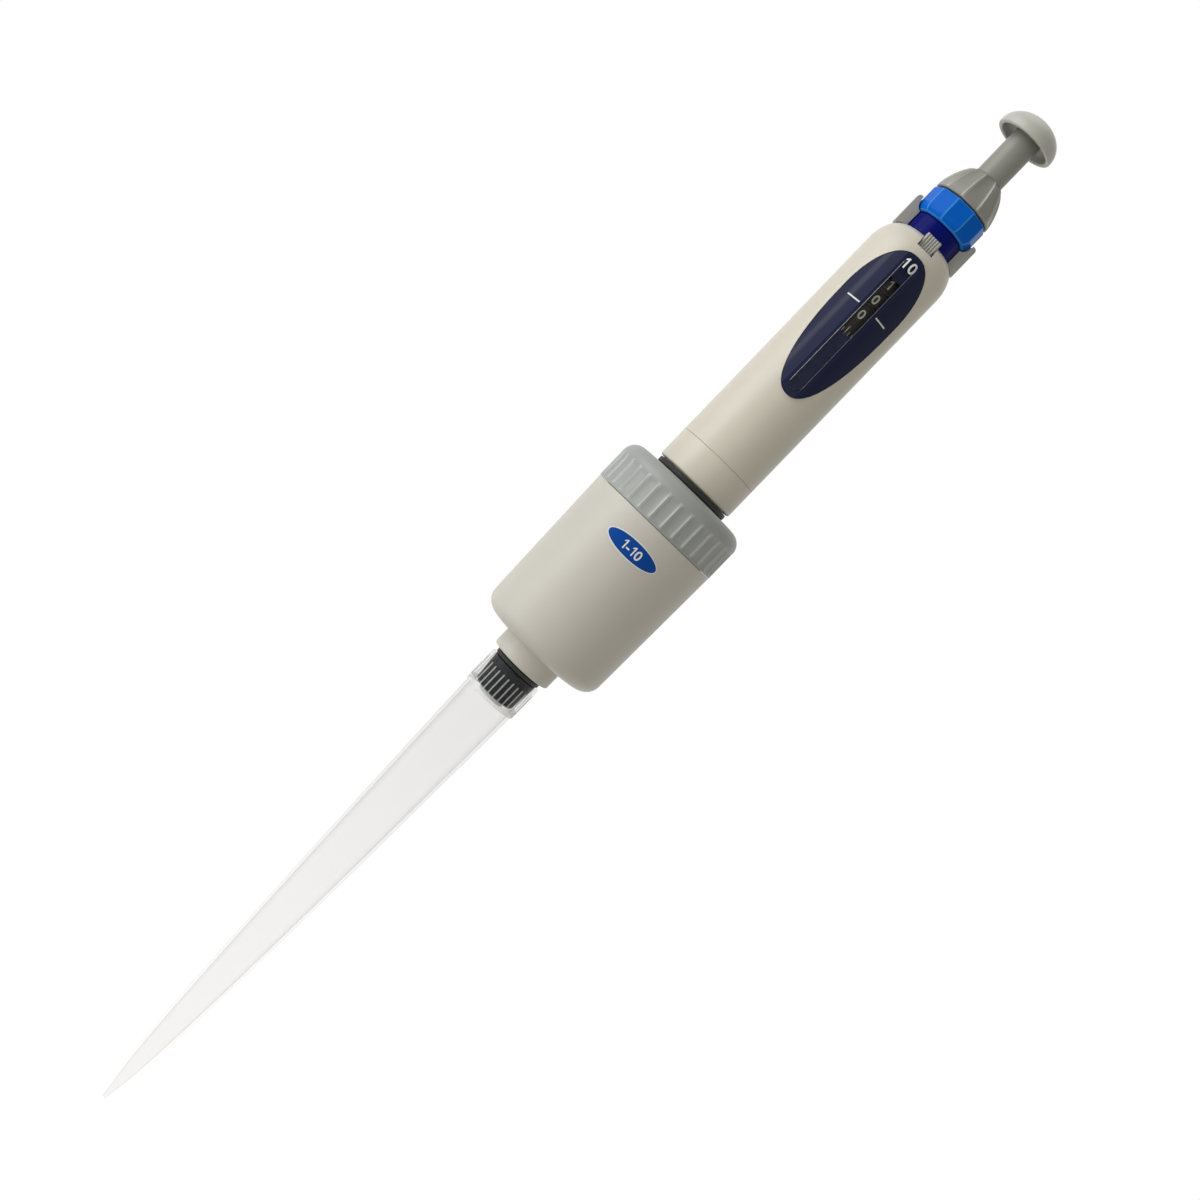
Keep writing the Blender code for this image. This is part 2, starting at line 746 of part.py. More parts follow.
def make_rod_guide():
    flange_low = CAP_TOP + GAP
    hole = ROD_RADIUS + FIT
    outline = [
        (GUIDE_FLANGE_RADIUS, flange_low + GUIDE_FLANGE_HEIGHT),
        (GUIDE_FLANGE_RADIUS, flange_low),
        (GUIDE_RADIUS, flange_low),
        (GUIDE_RADIUS, flange_low - GUIDE_LENGTH),
        (hole, flange_low - GUIDE_LENGTH),
        (hole, flange_low + GUIDE_FLANGE_HEIGHT),
    ]
    turned("rod_guide", outline, "brass")


def make_springs():
    coil(
        "main_spring",
        MAIN_SPRING_RADIUS,
        MAIN_SPRING_WIRE,
        SPRING_BOTTOM,
        STOP_BOTTOM - GAP,
        MAIN_SPRING_TURNS,
        "spring_steel",
    )
    coil(
        "blowout_spring",
        BLOWOUT_SPRING_RADIUS,
        BLOWOUT_SPRING_WIRE,
        SPRING_BOTTOM,
        SPRING_BOTTOM + BLOWOUT_SPRING_LENGTH,
        BLOWOUT_SPRING_TURNS,
        "spring_steel",
    )


def make_stops():
    seat = ring_outline(SEAT_BORE, SEAT_RADIUS, SEAT_BOTTOM, SEAT_BOTTOM + SEAT_HEIGHT)
    turned("blowout_seat", seat, "steel")
    hole = ROD_RADIUS + FIT
    stop = [
        (STOP_RADIUS, STOP_TOP),
        (STOP_RADIUS, STOP_BOTTOM),
        (hole, STOP_BOTTOM),
        (hole, STOP_TOP),
    ]
    turned("stop_collar", stop, "white_plastic")
    clip_low = STOP_TOP + FIT
    clip = ring_outline(hole, CLIP_RADIUS, clip_low, clip_low + CLIP_HEIGHT)
    turned("collar_clip", clip, "spring_steel")


def make_handle_base():
    outline = [
        (SHELL_INSIDE - FIT, SPIGOT_TOP),
        (SHELL_INSIDE - FIT, SHELL_BOTTOM - GAP),
        (HANDLE_RADIUS, SHELL_BOTTOM - GAP),
        (HANDLE_RADIUS, BASE_BOTTOM, EDGE_ROUND),
        (NECK_RADIUS + FIT, BASE_BOTTOM),
        (NECK_RADIUS + FIT, NECK_TOP + GAP),
        (SPIGOT_BORE, NECK_TOP + GAP),
        (SPIGOT_BORE, SPIGOT_TOP),
    ]
    turned("handle_base", outline, "ivory", FINE_STEPS)


def handle_outside(spare=0.0, steps=DOME_STEPS):
    """The handle's outer side from its rim down: an elliptic shoulder on a straight grip."""
    across = HANDLE_RADIUS - SHOULDER_CENTRE + spare
    up = SHOULDER_HEIGHT + spare
    centre = RIM_TOP - SHOULDER_HEIGHT
    start = math.acos((RIM_RADIUS - SHOULDER_CENTRE) / across)
    points = []
    for i in range(steps + 1):
        angle = start * (1 - i / steps)
        radius = SHOULDER_CENTRE + across * math.cos(angle)
        points.append((radius, centre + up * math.sin(angle)))
    return points


def egg_outline(spare=0.0, steps=FINE_STEPS):
    """The window's outline, seen from the front: (sideways, height)."""
    top = RIM_TOP - WINDOW_FROM_RIM + spare
    bottom = RIM_TOP - WINDOW_FROM_RIM - WINDOW_HEIGHT - spare
    widest = top - (WINDOW_HEIGHT + 2 * spare) * WINDOW_WIDEST
    half = WINDOW_WIDTH / 2 + spare
    points = []
    for i in range(steps):
        angle = FULL_TURN * i / steps
        across, along = math.cos(angle), math.sin(angle)
        reach = top - widest if along > 0 else widest - bottom
        x = half * math.copysign(abs(across) ** (2 / EGG_POWER), across)
        z = widest + reach * math.copysign(abs(along) ** (2 / EGG_POWER), along)
        points.append((x, z))
    return points


def facing_plate(name, outline, back, front):
    """A cutter with an outline in X and Z, between two distances in front of the axis."""
    middle = (0, -(back + front) / 2, 0)
    upright = (math.pi / 2, 0, 0)
    return plate(name, [outline], front - back, None, middle, upright)


def make_handle_shell():
    outline = list(handle_outside())
    inside = SHELL_INSIDE
    rim_hole = CORE_RADIUS + FIT
    outline += [
        (HANDLE_RADIUS, SHELL_BOTTOM, SEAM_ROUND),
        (inside, SHELL_BOTTOM),
        (inside, RIM_TOP - HANDLE_WALL, SHELL_INSIDE_CORNER),
        (rim_hole, RIM_TOP - HANDLE_WALL),
        (rim_hole, RIM_TOP),
    ]
    shell = turned("handle_shell", outline, "ivory", FINE_STEPS)
    past_wall = HANDLE_RADIUS + THROUGH
    cut(shell, facing_plate("window_hole", egg_outline(FIT), CORE_RADIUS / 2, past_wall))
    half = LATCH_WIDTH / 2 + FIT
    low = RIM_TOP + LATCH_RISE - LATCH_LENGTH - FIT
    near = -CORE_RADIUS / 2
    notch = block("latch_notch", (-half, -past_wall, low), (half, near, RIM_TOP + THROUGH))
    cut(shell, notch)


def roof_section():
    """The window insert cut across, looking down the axis."""
    half = WINDOW_WIDTH / 2 + ROOF_MARGIN
    ridge = HANDLE_RADIUS + ROOF_RISE
    flat = LENS_WIDTH / 2 + GAP
    edge = math.sqrt(HANDLE_RADIUS**2 - half**2) + ROOF_STEP
    inner = SHELL_INSIDE + FIT
    reach = math.asin(half / inner)
    section = [(half, -edge), (flat, -ridge), (-flat, -ridge), (-half, -edge)]
    for i in range(ROOF_STEPS + 1):
        angle = reach * (2 * i / ROOF_STEPS - 1)
        section.append((inner * math.sin(angle), -inner * math.cos(angle)))
    return section


def lens_outline(spare=0.0):
    """The clear rib seen from the front: a long slot shape inside the egg."""
    half = LENS_WIDTH / 2 + spare
    top = RIM_TOP - WINDOW_FROM_RIM - LENS_MARGIN + spare
    bottom = RIM_TOP - WINDOW_FROM_RIM - WINDOW_HEIGHT + LENS_MARGIN - spare
    soft = LENS_END_SHARE * half
    corners = ((half, bottom), (half, top), (-half, top), (-half, bottom))
    return rounded([(*corner, soft) for corner in corners])


def make_window():
    height = WINDOW_HEIGHT + 2 * THROUGH
    middle = RIM_TOP - WINDOW_FROM_RIM - WINDOW_HEIGHT / 2
    ridge = HANDLE_RADIUS + ROOF_RISE
    past_ridge = ridge + THROUGH
    frame = plate("window_frame", [roof_section()], height, "navy", (0, 0, middle))
    egg = facing_plate("window_egg", egg_outline(), CORE_RADIUS / 2, past_ridge)
    combine(frame, egg, "INTERSECT")
    channel_floor = ridge - LENS_DEPTH + LENS_RISE - FIT
    channel = facing_plate("lens_channel", lens_outline(FIT), channel_floor, past_ridge)
    cut(frame, channel)
    half = SLOT_WIDTH / 2
    low, high = TENTHS_BOTTOM + FIT, TENS_TOP - SLOT_TOP_DROP
    slot = block("counter_slot", (-half, -past_ridge, low), (half, -CORE_RADIUS / 2, high))
    cut(frame, slot)
    outer = ridge + LENS_RISE
    at = (0, -(outer - LENS_DEPTH / 2), 0)
    upright = (math.pi / 2, 0, 0)
    lens = plate("window_lens", [lens_outline()], LENS_DEPTH, "clear", at, upright)
    crown = rod_outline(LENS_CROWN_RADIUS, middle - height / 2, middle + height / 2)
    crown_at = (0, -(outer - LENS_CROWN_RADIUS), 0)
    combine(lens, turned("lens_crown", crown, None, FINE_STEPS, crown_at), "INTERSECT")


def drum_outline(bottom, top, bore):
    """A counter wheel: a digit band between two thinner toothed rims."""
    rim = DRUM_RIM_RADIUS
    teeth = TOOTH_DEPTH
    return [
        (rim, top, 0),
        (rim, top - DRUM_RIM, 0),
        (DRUM_RADIUS, top - DRUM_RIM, 0),
        (DRUM_RADIUS, bottom + DRUM_RIM, 0),
        (rim, bottom + DRUM_RIM, teeth),
        (rim, bottom, teeth),
        (bore, bottom, 0),
        (bore, top, 0),
    ]


def make_counter():
    bore = SPINDLE_RADIUS + FIT
    teeth = saw_wave(DRUM_TEETH)
    steps = 2 * DRUM_TEETH
    for name, top in (("tens_drum", TENS_TOP), ("units_drum", UNITS_TOP)):
        fluted(name, drum_outline(top - DRUM_HEIGHT, top, bore), teeth, steps, "digit_drum")
    tenths = [
        (DRUM_RIM_RADIUS, TENTHS_TOP),
        (DRUM_RIM_RADIUS, TENTHS_TOP - DRUM_RIM),
        (DRUM_RADIUS, TENTHS_TOP - DRUM_RIM),
        (DRUM_RADIUS, TENTHS_BOTTOM),
        (bore, TENTHS_BOTTOM),
        (bore, TENTHS_TOP),
    ]
    turned("tenths_drum", tenths, "digit_drum", steps)
    hole = AXLE_RADIUS + AXLE_FIT
    tooth_waves = saw_wave(PINION_TEETH)
    for name, seam in (("lower_pinion", TENTHS_TOP), ("upper_pinion", UNITS_TOP)):
        middle = seam + FIT / 2
        low, top = -PINION_HEIGHT / 2, PINION_HEIGHT / 2
        outline = [
            (PINION_RADIUS, top, PINION_TOOTH_DEPTH),
            (PINION_RADIUS, low, PINION_TOOTH_DEPTH),
            (hole, low, 0),
            (hole, top, 0),
        ]
        at = (0, PINION_AXIS, middle)
        fluted(name, outline, tooth_waves, 2 * PINION_TEETH, "brass", at)
    low, top = TENTHS_BOTTOM - GAP - FRAME_FLANGE, FRAME_TOP
    axle = rod_outline(AXLE_RADIUS, low, top)
    turned("pinion_axle", axle, "steel", at=(0, PINION_AXIS, 0))


def make_counter_frame():
    """The cage round the counter, with a door in front and a guide slot for the nut's key."""
    inside = FRAME_INSIDE
    outside = inside + FRAME_WALL
    hole = SPINDLE_RADIUS + 2 * GAP
    past_wall = outside + THROUGH
    floor_top = TENTHS_BOTTOM - GAP
    floor = floor_top - FRAME_FLANGE
    ceiling = FRAME_TOP - FRAME_FLANGE
    outline = [
        (outside, FRAME_TOP),
        (outside, FRAME_BOTTOM),
        (inside, FRAME_BOTTOM),
        (inside, floor),
        (hole, floor),
        (hole, floor_top),
        (inside, floor_top),
        (inside, ceiling),
        (hole, ceiling),
        (hole, FRAME_TOP),
    ]
    frame = turned("counter_frame", outline, "white_plastic", MIDDLE_STEPS)
    door = FRAME_DOOR
    cut(frame, block("frame_door", (-door, -past_wall, floor_top), (door, 0, ceiling)))
    key = KEY_WIDTH / 2 + 2 * FIT
    slot_low, slot_top = FRAME_BOTTOM - THROUGH, floor - KEY_SLOT_DROP
    cut(frame, block("key_slot", (-key, 0, slot_low), (key, past_wall, slot_top)))
    pin = rod_outline(AXLE_RADIUS + FIT, floor - THROUGH, FRAME_TOP + THROUGH)
    cut(frame, turned("axle_holes", pin, at=(0, PINION_AXIS, 0)))


def make_stroke_nut():
    """The nut on the spindle, with a skirt that passes round the rod's stop collar."""
    inside = STOP_RADIUS + STROKE_NUT_PLAY
    outside = inside + STROKE_NUT_WALL
    low = NUT_SKIRT_BOTTOM
    roof = low + STROKE_NUT_SKIRT
    outline = [
        (outside, roof + STROKE_NUT_HEIGHT),
        (outside, low),
        (inside, low),
        (inside, roof),
        (SPINDLE_RADIUS + FIT, roof),
        (SPINDLE_RADIUS + FIT, roof + STROKE_NUT_HEIGHT),
    ]
    nut = turned("stroke_nut", outline, "white_plastic")
    half = KEY_WIDTH / 2
    reach = FRAME_INSIDE + FRAME_WALL - FIT
    key = block("nut_key", (-half, inside, roof), (half, reach, roof + KEY_HEIGHT))
    combine(nut, key, "UNION")


def make_core():
    """The navy core: it stands on the counter frame and comes up through the rim."""
    flange_low = FRAME_TOP + GAP
    flange_top = flange_low + CORE_FLANGE_HEIGHT
    neck_top = RING_TOP - CORE_NECK_DROP
    inside = CORE_NECK_RADIUS - CORE_WALL
    outline = [
        (CORE_NECK_RADIUS, neck_top),
        (CORE_NECK_RADIUS, CORE_TOP),
        (CORE_RADIUS, CORE_TOP, SEAM_ROUND),
        (CORE_RADIUS, flange_top),
        (CORE_FLANGE_RADIUS, flange_top),
        (CORE_FLANGE_RADIUS, flange_low),
        (inside, flange_low),
        (inside, neck_top),
    ]
    turned("core_sleeve", outline, "navy", MIDDLE_STEPS)
    top = neck_top - GAP
    bearing = ring_outline(SPINDLE_RADIUS + FIT, inside - FIT, top - BEARING_LENGTH, top)
    turned("spindle_bearing", bearing, "white_plastic")


def make_spindle():
    outline = ring_outline(SPINDLE_BORE, SPINDLE_RADIUS, SPINDLE_BOTTOM, KNOB_BOTTOM + KNOB_SOCKET)
    turned("drive_spindle", outline, "steel")


def make_lock_ring():
    depth = RING_RADIUS * (1 - math.cos(math.pi / RING_FLATS))
    bore = CORE_NECK_RADIUS + FIT
    edge = EDGE_ROUND
    outline = [(RING_RADIUS - edge, RING_TOP, depth), (RING_RADIUS, RING_TOP - edge, depth)]
    for i in range(HOLLOW_STEPS + 1):
        share = i / HOLLOW_STEPS
        angle = math.pi / 2 * share
        inwards = RING_LOW_INSET * (1 - math.cos(angle))
        height = RING_BOTTOM + RING_LOW_ROUND * (1 - math.sin(angle))
        outline.append((RING_RADIUS - inwards, height, depth * (1 - RING_FADE * share)))
    outline += [(bore, RING_BOTTOM, 0), (bore, RING_TOP, 0)]
    fluted("lock_ring", outline, flat_wave(RING_FLATS), 3 * RING_FLATS, "blue")


def make_knob():
    """A dome with hollow flutes that run out before its base."""
    outline = []
    for i in range(DOME_STEPS + 1):
        share = i / DOME_STEPS
        angle = math.pi / 2 * share
        spread = KNOB_BASE_RADIUS - KNOB_TOP_RADIUS
        radius = KNOB_TOP_RADIUS + spread * math.sin(angle)
        height = KNOB_TOP - (KNOB_HEIGHT - KNOB_HEM) * (1 - math.cos(angle))
        wave = math.sin(math.pi * (KNOB_FLUTE_START + KNOB_FLUTE_RUN * share))
        outline.append((radius, height, KNOB_FLUTE_DEPTH * wave))
    mouth = STEM_RADIUS + FIT
    socket = SPINDLE_RADIUS + FIT
    shoulder = KNOB_BOTTOM + KNOB_SOCKET + GAP
    outline += [
        (KNOB_BASE_RADIUS, KNOB_BOTTOM, 0),
        (socket, KNOB_BOTTOM, 0),
        (socket, shoulder, 0),
        (mouth, shoulder, 0),
        (mouth, KNOB_TOP, 0),
    ]
    steps = KNOB_FLUTE_STEPS * KNOB_FLUTES
    fluted("volume_knob", outline, scoop_wave(KNOB_FLUTES), steps, "stem_grey")


def make_stem():
    low = STEM_TOP - STEM_LENGTH
    bore_top = STEM_TOP - STEM_LENGTH / 2 + GAP
    spigot_top = STEM_TOP + STEM_SPIGOT_RADIUS
    outline = [
        (0, spigot_top),
        (STEM_SPIGOT_RADIUS, spigot_top),
        (STEM_SPIGOT_RADIUS, STEM_TOP),
        (STEM_RADIUS, STEM_TOP),
        (STEM_RADIUS, low, SEAM_ROUND),
        (ROD_RADIUS + FIT, low),
        (ROD_RADIUS + FIT, bore_top),
        (0, bore_top),
    ]
    turned("plunger_stem", outline, "stem_grey", MIDDLE_STEPS)


def make_button():
    """A hollow mushroom cap: its dome and the hollow under it are parts of ellipses."""
    ceiling = STEM_TOP + GAP
    bore_top = STEM_TOP + STEM_SPIGOT_RADIUS + GAP
    lip_top = BUTTON_BOTTOM + BUTTON_LIP
    outline = [(0, BUTTON_TOP)]
    for i in range(1, DOME_STEPS + 1):
        angle = math.pi / 2 * i / DOME_STEPS
        height = lip_top + (BUTTON_TOP - lip_top) * math.cos(angle)
        outline.append((BUTTON_RADIUS * math.sin(angle), height))
    inside = BUTTON_RADIUS - BUTTON_WALL
    outline += [(BUTTON_RADIUS, BUTTON_BOTTOM, EDGE_ROUND), (inside, BUTTON_BOTTOM, EDGE_ROUND)]
    flat = STEM_RADIUS + GAP
    for i in range(1, HOLLOW_STEPS + 1):
        angle = math.pi / 2 * i / HOLLOW_STEPS
        height = lip_top + (ceiling - lip_top) * math.sin(angle)
        outline.append((flat + (inside - flat) * math.cos(angle), height))
    outline += [
        (STEM_SPIGOT_RADIUS + FIT, ceiling),
        (STEM_SPIGOT_RADIUS + FIT, bore_top),
        (0, bore_top),
    ]
    turned("push_button", outline, "light_grey", MIDDLE_STEPS)


def make_latch():
    """The ribbed catch at the front of the rim, seen from above and made as tall as it is."""
    back = CORE_RADIUS + GAP
    front = back + LATCH_DEPTH
    half = LATCH_WIDTH / 2
    top = RIM_TOP + LATCH_RISE
    pitch = LATCH_WIDTH / LATCH_RIBS
    outline = [(half, -back), (-half, -back)]
    for i in range(LATCH_RIBS):
        left = -half + pitch * i
        outline += [(left, -front), (left + pitch / 2, -front - LATCH_RIB_DEPTH)]
    outline.append((half, -front))
    plate("latch_tab", [outline], LATCH_LENGTH, "mid_grey", (0, 0, top - LATCH_LENGTH / 2))


def hook_side(low):
    """The hook seen from the side: out over the finger and down at its end."""
    end_inside = HOOK_REACH - HOOK_END
    end_low = HOOK_TOP - HOOK_DROP
    root = HANG_HEIGHT - HOOK_GUSSET
    return rounded(
        [
            (HOOK_INSIDE / 2, HOOK_TOP),
            (HOOK_REACH, HOOK_TOP, HOOK_BEND),
            (HOOK_REACH, end_low, HOOK_END_ROUND),
            (end_inside, end_low, HOOK_END_ROUND),
            (end_inside, HANG_HEIGHT, HOOK_FILLET),
            (HOOK_OUTSIDE, HANG_HEIGHT, HOOK_FILLET),
            (HOOK_OUTSIDE, root),
            (HOOK_INSIDE / 2, low),
        ]
    )


def make_finger_hook():
    """A collar round the back of the core, seated on the shoulder, with a hook for the finger."""
    low = HOOK_TOP - HOOK_COLLAR_DROP
    collar = [
        (HOOK_OUTSIDE, HOOK_TOP, HOOK_COLLAR_ROUND),
        (HOOK_OUTSIDE, low),
        (HOOK_INSIDE, low),
        (HOOK_INSIDE, HOOK_TOP),
    ]
    hook = turned("finger_hook", collar, "light_grey", FINE_STEPS)
    sideways = (math.pi / 2, 0, math.pi / 2)
    tongue = plate("hook_tongue", [hook_side(low)], HOOK_WIDTH, turn=sideways, edge=HOOK_EDGE)
    combine(hook, tongue, "UNION")
    bore = rod_outline(HOOK_INSIDE, low - THROUGH, HOOK_TOP + THROUGH)
    cut(hook, turned("hook_bore", bore, None, FINE_STEPS))
    far = 2 * HOOK_OUTSIDE
    side, front = far * math.sin(HOOK_OPENING / 2), far * math.cos(HOOK_OPENING / 2)
    wedge = [(0, 0), (-side, -front), (-side, -far), (side, -far), (side, -front)]
    middle = (0, 0, (HOOK_TOP + low) / 2)
    cut(hook, plate("hook_opening", [wedge], HOOK_COLLAR_DROP + THROUGH, at=middle))
    envelope = [(0, RIM_TOP + GAP)] + handle_outside(GAP)
    envelope += [(HANDLE_RADIUS + GAP, SHELL_BOTTOM), (0, SHELL_BOTTOM)]
    cut(hook, turned("handle_envelope", envelope, None, FINE_STEPS))


def main():
    make_tip()
    make_tip_cone()
    make_nozzle_oring()
    make_barrel()
    make_barrel_cap()
    make_coupling_ring()
    make_piston()
    make_rod()
    make_rod_guide()
    make_springs()
    make_stops()
    make_handle_base()
    make_handle_shell()
    make_window()
    make_counter()
    make_counter_frame()
    make_stroke_nut()
    make_core()
    make_spindle()
    make_lock_ring()
    make_knob()
    make_stem()
    make_button()
    make_latch()
    make_finger_hook()


main()
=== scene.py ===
"""The looks of the micropipette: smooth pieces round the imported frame, printed marks and light.

Lengths are in millimetres, from the end of the tip up the pipette's axis, until place() turns
them into the frame's metres.
"""

import json
import math

import bpy
import bmesh
from mathutils import Matrix, Vector


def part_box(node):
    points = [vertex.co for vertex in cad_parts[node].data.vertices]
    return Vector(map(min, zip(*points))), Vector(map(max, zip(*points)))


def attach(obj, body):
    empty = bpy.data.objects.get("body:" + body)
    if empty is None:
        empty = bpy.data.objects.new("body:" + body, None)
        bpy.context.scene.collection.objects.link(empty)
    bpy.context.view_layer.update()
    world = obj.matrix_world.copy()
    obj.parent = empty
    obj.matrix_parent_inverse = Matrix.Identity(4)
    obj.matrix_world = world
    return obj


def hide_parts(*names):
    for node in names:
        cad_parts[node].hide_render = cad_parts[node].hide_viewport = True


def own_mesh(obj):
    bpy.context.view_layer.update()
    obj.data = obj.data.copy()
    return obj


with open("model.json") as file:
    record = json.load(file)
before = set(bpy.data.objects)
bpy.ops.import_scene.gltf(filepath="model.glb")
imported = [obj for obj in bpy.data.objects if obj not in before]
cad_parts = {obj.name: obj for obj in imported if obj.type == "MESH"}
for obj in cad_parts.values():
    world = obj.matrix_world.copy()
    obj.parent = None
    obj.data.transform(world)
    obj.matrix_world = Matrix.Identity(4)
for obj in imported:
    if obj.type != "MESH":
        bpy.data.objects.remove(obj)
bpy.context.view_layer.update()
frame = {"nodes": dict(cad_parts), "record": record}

MM = 0.001
TURN = 2 * math.pi
BARREL_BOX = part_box("barrel")
AXIS = Vector(((BARREL_BOX[0].x + BARREL_BOX[1].x) / 2, (BARREL_BOX[0].y + BARREL_BOX[1].y) / 2, 0))
AXIS.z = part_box("disposable_tip")[0].z
BODY_OF = {n: b for b, nodes in frame["record"]["behaviour"]["bodies"].items() for n in nodes}
SLOT_OF = {s["node"]: s["material_slot"] for s in frame["record"]["subparts"]}

# Facets: steps to a turn, steps to a rounded corner, and the angle that stays an edge
ROUND = 144
DRUM_ROUND = 96
HOOK_ROUND = 160
ARC = 7
SHARP = math.radians(34)

# Gaps between pieces
GAP = 0.3
CLEARANCE = 0.15

# How far cutting tools reach: out from the axis, and past the ends of what they cut
FAR = 20
PAST = 3

# Corners closer than this are joined
WELD = 0.002


def place(x, y, z):
    return Vector((x * MM, y * MM, z * MM)) + AXIS


def foot(node):
    return (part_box(node)[0].z - AXIS.z) / MM


def head(node):
    return (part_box(node)[1].z - AXIS.z) / MM


def girth(node):
    low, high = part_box(node)
    return (high.x - low.x) / 2 / MM


# Materials

# Most of a noise lies between these
NOISE_LOW, NOISE_HIGH = 0.3, 0.7

# Features a metre in moulded plastic: flow marks, skin and slow waves
FLOW_MARKS, SKIN_GRAIN, SLOW_WAVE = 70, 2600, 45


def principled(name, **sockets):
    material = bpy.data.materials.new(name)
    material.use_nodes = True
    shader = material.node_tree.nodes["Principled BSDF"]
    for socket, value in sockets.items():
        shader.inputs[socket.replace("_", " ")].default_value = value
    return material, material.node_tree, shader


def add_node(tree, kind, **settings):
    node = tree.nodes.new(kind)
    for key, value in settings.items():
        if key in node.inputs:
            node.inputs[key].default_value = value
        else:
            setattr(node, key, value)
    return node


def noise(tree, scale, detail=3.0, stretch=(1, 1, 1)):
    """Noise over the piece's own coordinates; scale counts features a metre."""
    coordinates = add_node(tree, "ShaderNodeTexCoord")
    mapping = add_node(tree, "ShaderNodeMapping")
    mapping.inputs["Scale"].default_value = stretch
    texture = add_node(tree, "ShaderNodeTexNoise", Scale=scale, Detail=detail)
    tree.links.new(coordinates.outputs["Object"], mapping.inputs["Vector"])
    tree.links.new(mapping.outputs["Vector"], texture.inputs["Vector"])
    return texture.outputs["Fac"]


def ramp(tree, factor, stops):
    node = add_node(tree, "ShaderNodeValToRGB")
    elements = node.color_ramp.elements
    while len(elements) < len(stops):
        elements.new(0.5)
    for element, (position, colour) in zip(elements, stops):
        element.position = position
        element.color = (*colour, 1)
    tree.links.new(factor, node.inputs["Fac"])
    return node.outputs["Color"]


def spread(tree, factor, low, high):
    node = add_node(tree, "ShaderNodeMapRange")
    node.inputs["From Min"].default_value = NOISE_LOW
    node.inputs["From Max"].default_value = NOISE_HIGH
    node.inputs["To Min"].default_value = low
    node.inputs["To Max"].default_value = high
    tree.links.new(factor, node.inputs["Value"])
    return node.outputs["Result"]


def bumps(tree, shader, layers):
    """Bump nodes in a chain, one for each (height socket, strength, depth in metres)."""
    normal = None
    for height, strength, depth in layers:
        node = add_node(tree, "ShaderNodeBump", Strength=strength, Distance=depth)
        tree.links.new(height, node.inputs["Height"])
        if normal:
            tree.links.new(normal, node.inputs["Normal"])
        normal = node.outputs["Normal"]
    tree.links.new(normal, shader.inputs["Normal"])


def tones(colour, change):
    darker = tuple(c * (1 - change) for c in colour)
    lighter = tuple(min(1, c * (1 + change)) for c in colour)
    return [(NOISE_LOW, darker), (0.5, colour), (NOISE_HIGH, lighter)]


def moulded(name, colour, rough, change=0.025, grain=0.12, light=0.5):
    """Moulded plastic: faint flow marks in its colour and gloss, and an eroded skin."""
    material, tree, shader = principled(name, Specular_IOR_Level=light)
    flow = noise(tree, FLOW_MARKS, 4, (1, 1, 0.35))
    skin = noise(tree, SKIN_GRAIN, 2)
    tree.links.new(ramp(tree, flow, tones(colour, change)), shader.inputs["Base Color"])
    tree.links.new(spread(tree, flow, rough * 0.9, rough * 1.1), shader.inputs["Roughness"])
    wave = noise(tree, SLOW_WAVE, 2)
    bumps(tree, shader, [(skin, grain, 0.00004), (wave, 0.03, 0.0004)])
    return material


def metal(name, colour, rough, stretch=(1, 1, 40)):
    """Turned metal with fine tool marks round it."""
    material, tree, shader = principled(name, Metallic=1.0)
    marks = noise(tree, 260, 3, stretch)
    tree.links.new(ramp(tree, marks, tones(colour, 0.07)), shader.inputs["Base Color"])
    tree.links.new(spread(tree, marks, rough * 0.75, rough * 1.3), shader.inputs["Roughness"])
    bumps(tree, shader, [(marks, 0.12, 0.00003)])
    return material


def rubber(name, colour):
    material, tree, shader = principled(name, Specular_IOR_Level=0.35)
    dust = noise(tree, 900, 4)
    tree.links.new(ramp(tree, dust, tones(colour, 0.3)), shader.inputs["Base Color"])
    tree.links.new(spread(tree, dust, 0.5, 0.68), shader.inputs["Roughness"])
    bumps(tree, shader, [(dust, 0.2, 0.00004)])
    return material


def film(name, colour, rough, stops, light=0.5):
    """Thin clear plastic: stops pair how far it turns away with how much of it shows."""
    material, tree, shader = principled(name, Specular_IOR_Level=light)
    facing = add_node(tree, "ShaderNodeLayerWeight", Blend=0.5).outputs["Facing"]
    cover = ramp(tree, facing, [(at, (share,) * 3) for at, share in stops])
    tree.links.new(cover, shader.inputs["Alpha"])
    haze = noise(tree, 120, 3, (1, 1, 0.2))
    tree.links.new(ramp(tree, haze, tones(colour, 0.02)), shader.inputs["Base Color"])
    tree.links.new(spread(tree, haze, rough * 0.8, rough * 1.2), shader.inputs["Roughness"])
    return material


IVORY = moulded("ivory_skin", (0.66, 0.63, 0.54), 0.38)
LIGHT_GREY = moulded("light_grey_skin", (0.60, 0.585, 0.53), 0.42)
MID_GREY = moulded("mid_grey_skin", (0.34, 0.36, 0.35), 0.44)
# Painted shade: the finger hook is moulded in the handle's ivory, and this darker grey copy of it
# paints in its shade; the latch tab shares it
HOOK_PAINTED_SHADE = moulded("hook_ivory_painted_shade", (0.42, 0.42, 0.39), 0.42)
STEM_GREY = moulded("stem_grey_skin", (0.25, 0.25, 0.225), 0.40)
BUTTON_GREY = moulded("button_grey_skin", (0.50, 0.50, 0.45), 0.36)
DARK_GREY = moulded("dark_grey_skin", (0.009, 0.011, 0.015), 0.4, light=0.2)
WHITE = moulded("white_skin", (0.78, 0.78, 0.76), 0.5)
NAVY = moulded("navy_gloss", (0.002, 0.006, 0.045), 0.12, 0.1, 0.02, light=0.12)
CORE_BLUE = moulded("core_blue_gloss", (0.0005, 0.004, 0.15), 0.2, 0.08, 0.03, light=0.05)
RING_BLUE = moulded("ring_blue_gloss", (0.0005, 0.13, 0.66), 0.28, 0.04, 0.05, light=0.06)
BADGE_BLUE = moulded("badge_blue_print", (0.0005, 0.065, 0.34), 0.35, 0.03, 0.03, light=0.1)
PRINT = moulded("white_print", (0.80, 0.80, 0.80), 0.45, 0.02, 0.05)
DRUM_BLACK = moulded("drum_black", (0.050, 0.050, 0.046), 0.5, 0.06, 0.02, 0.3)
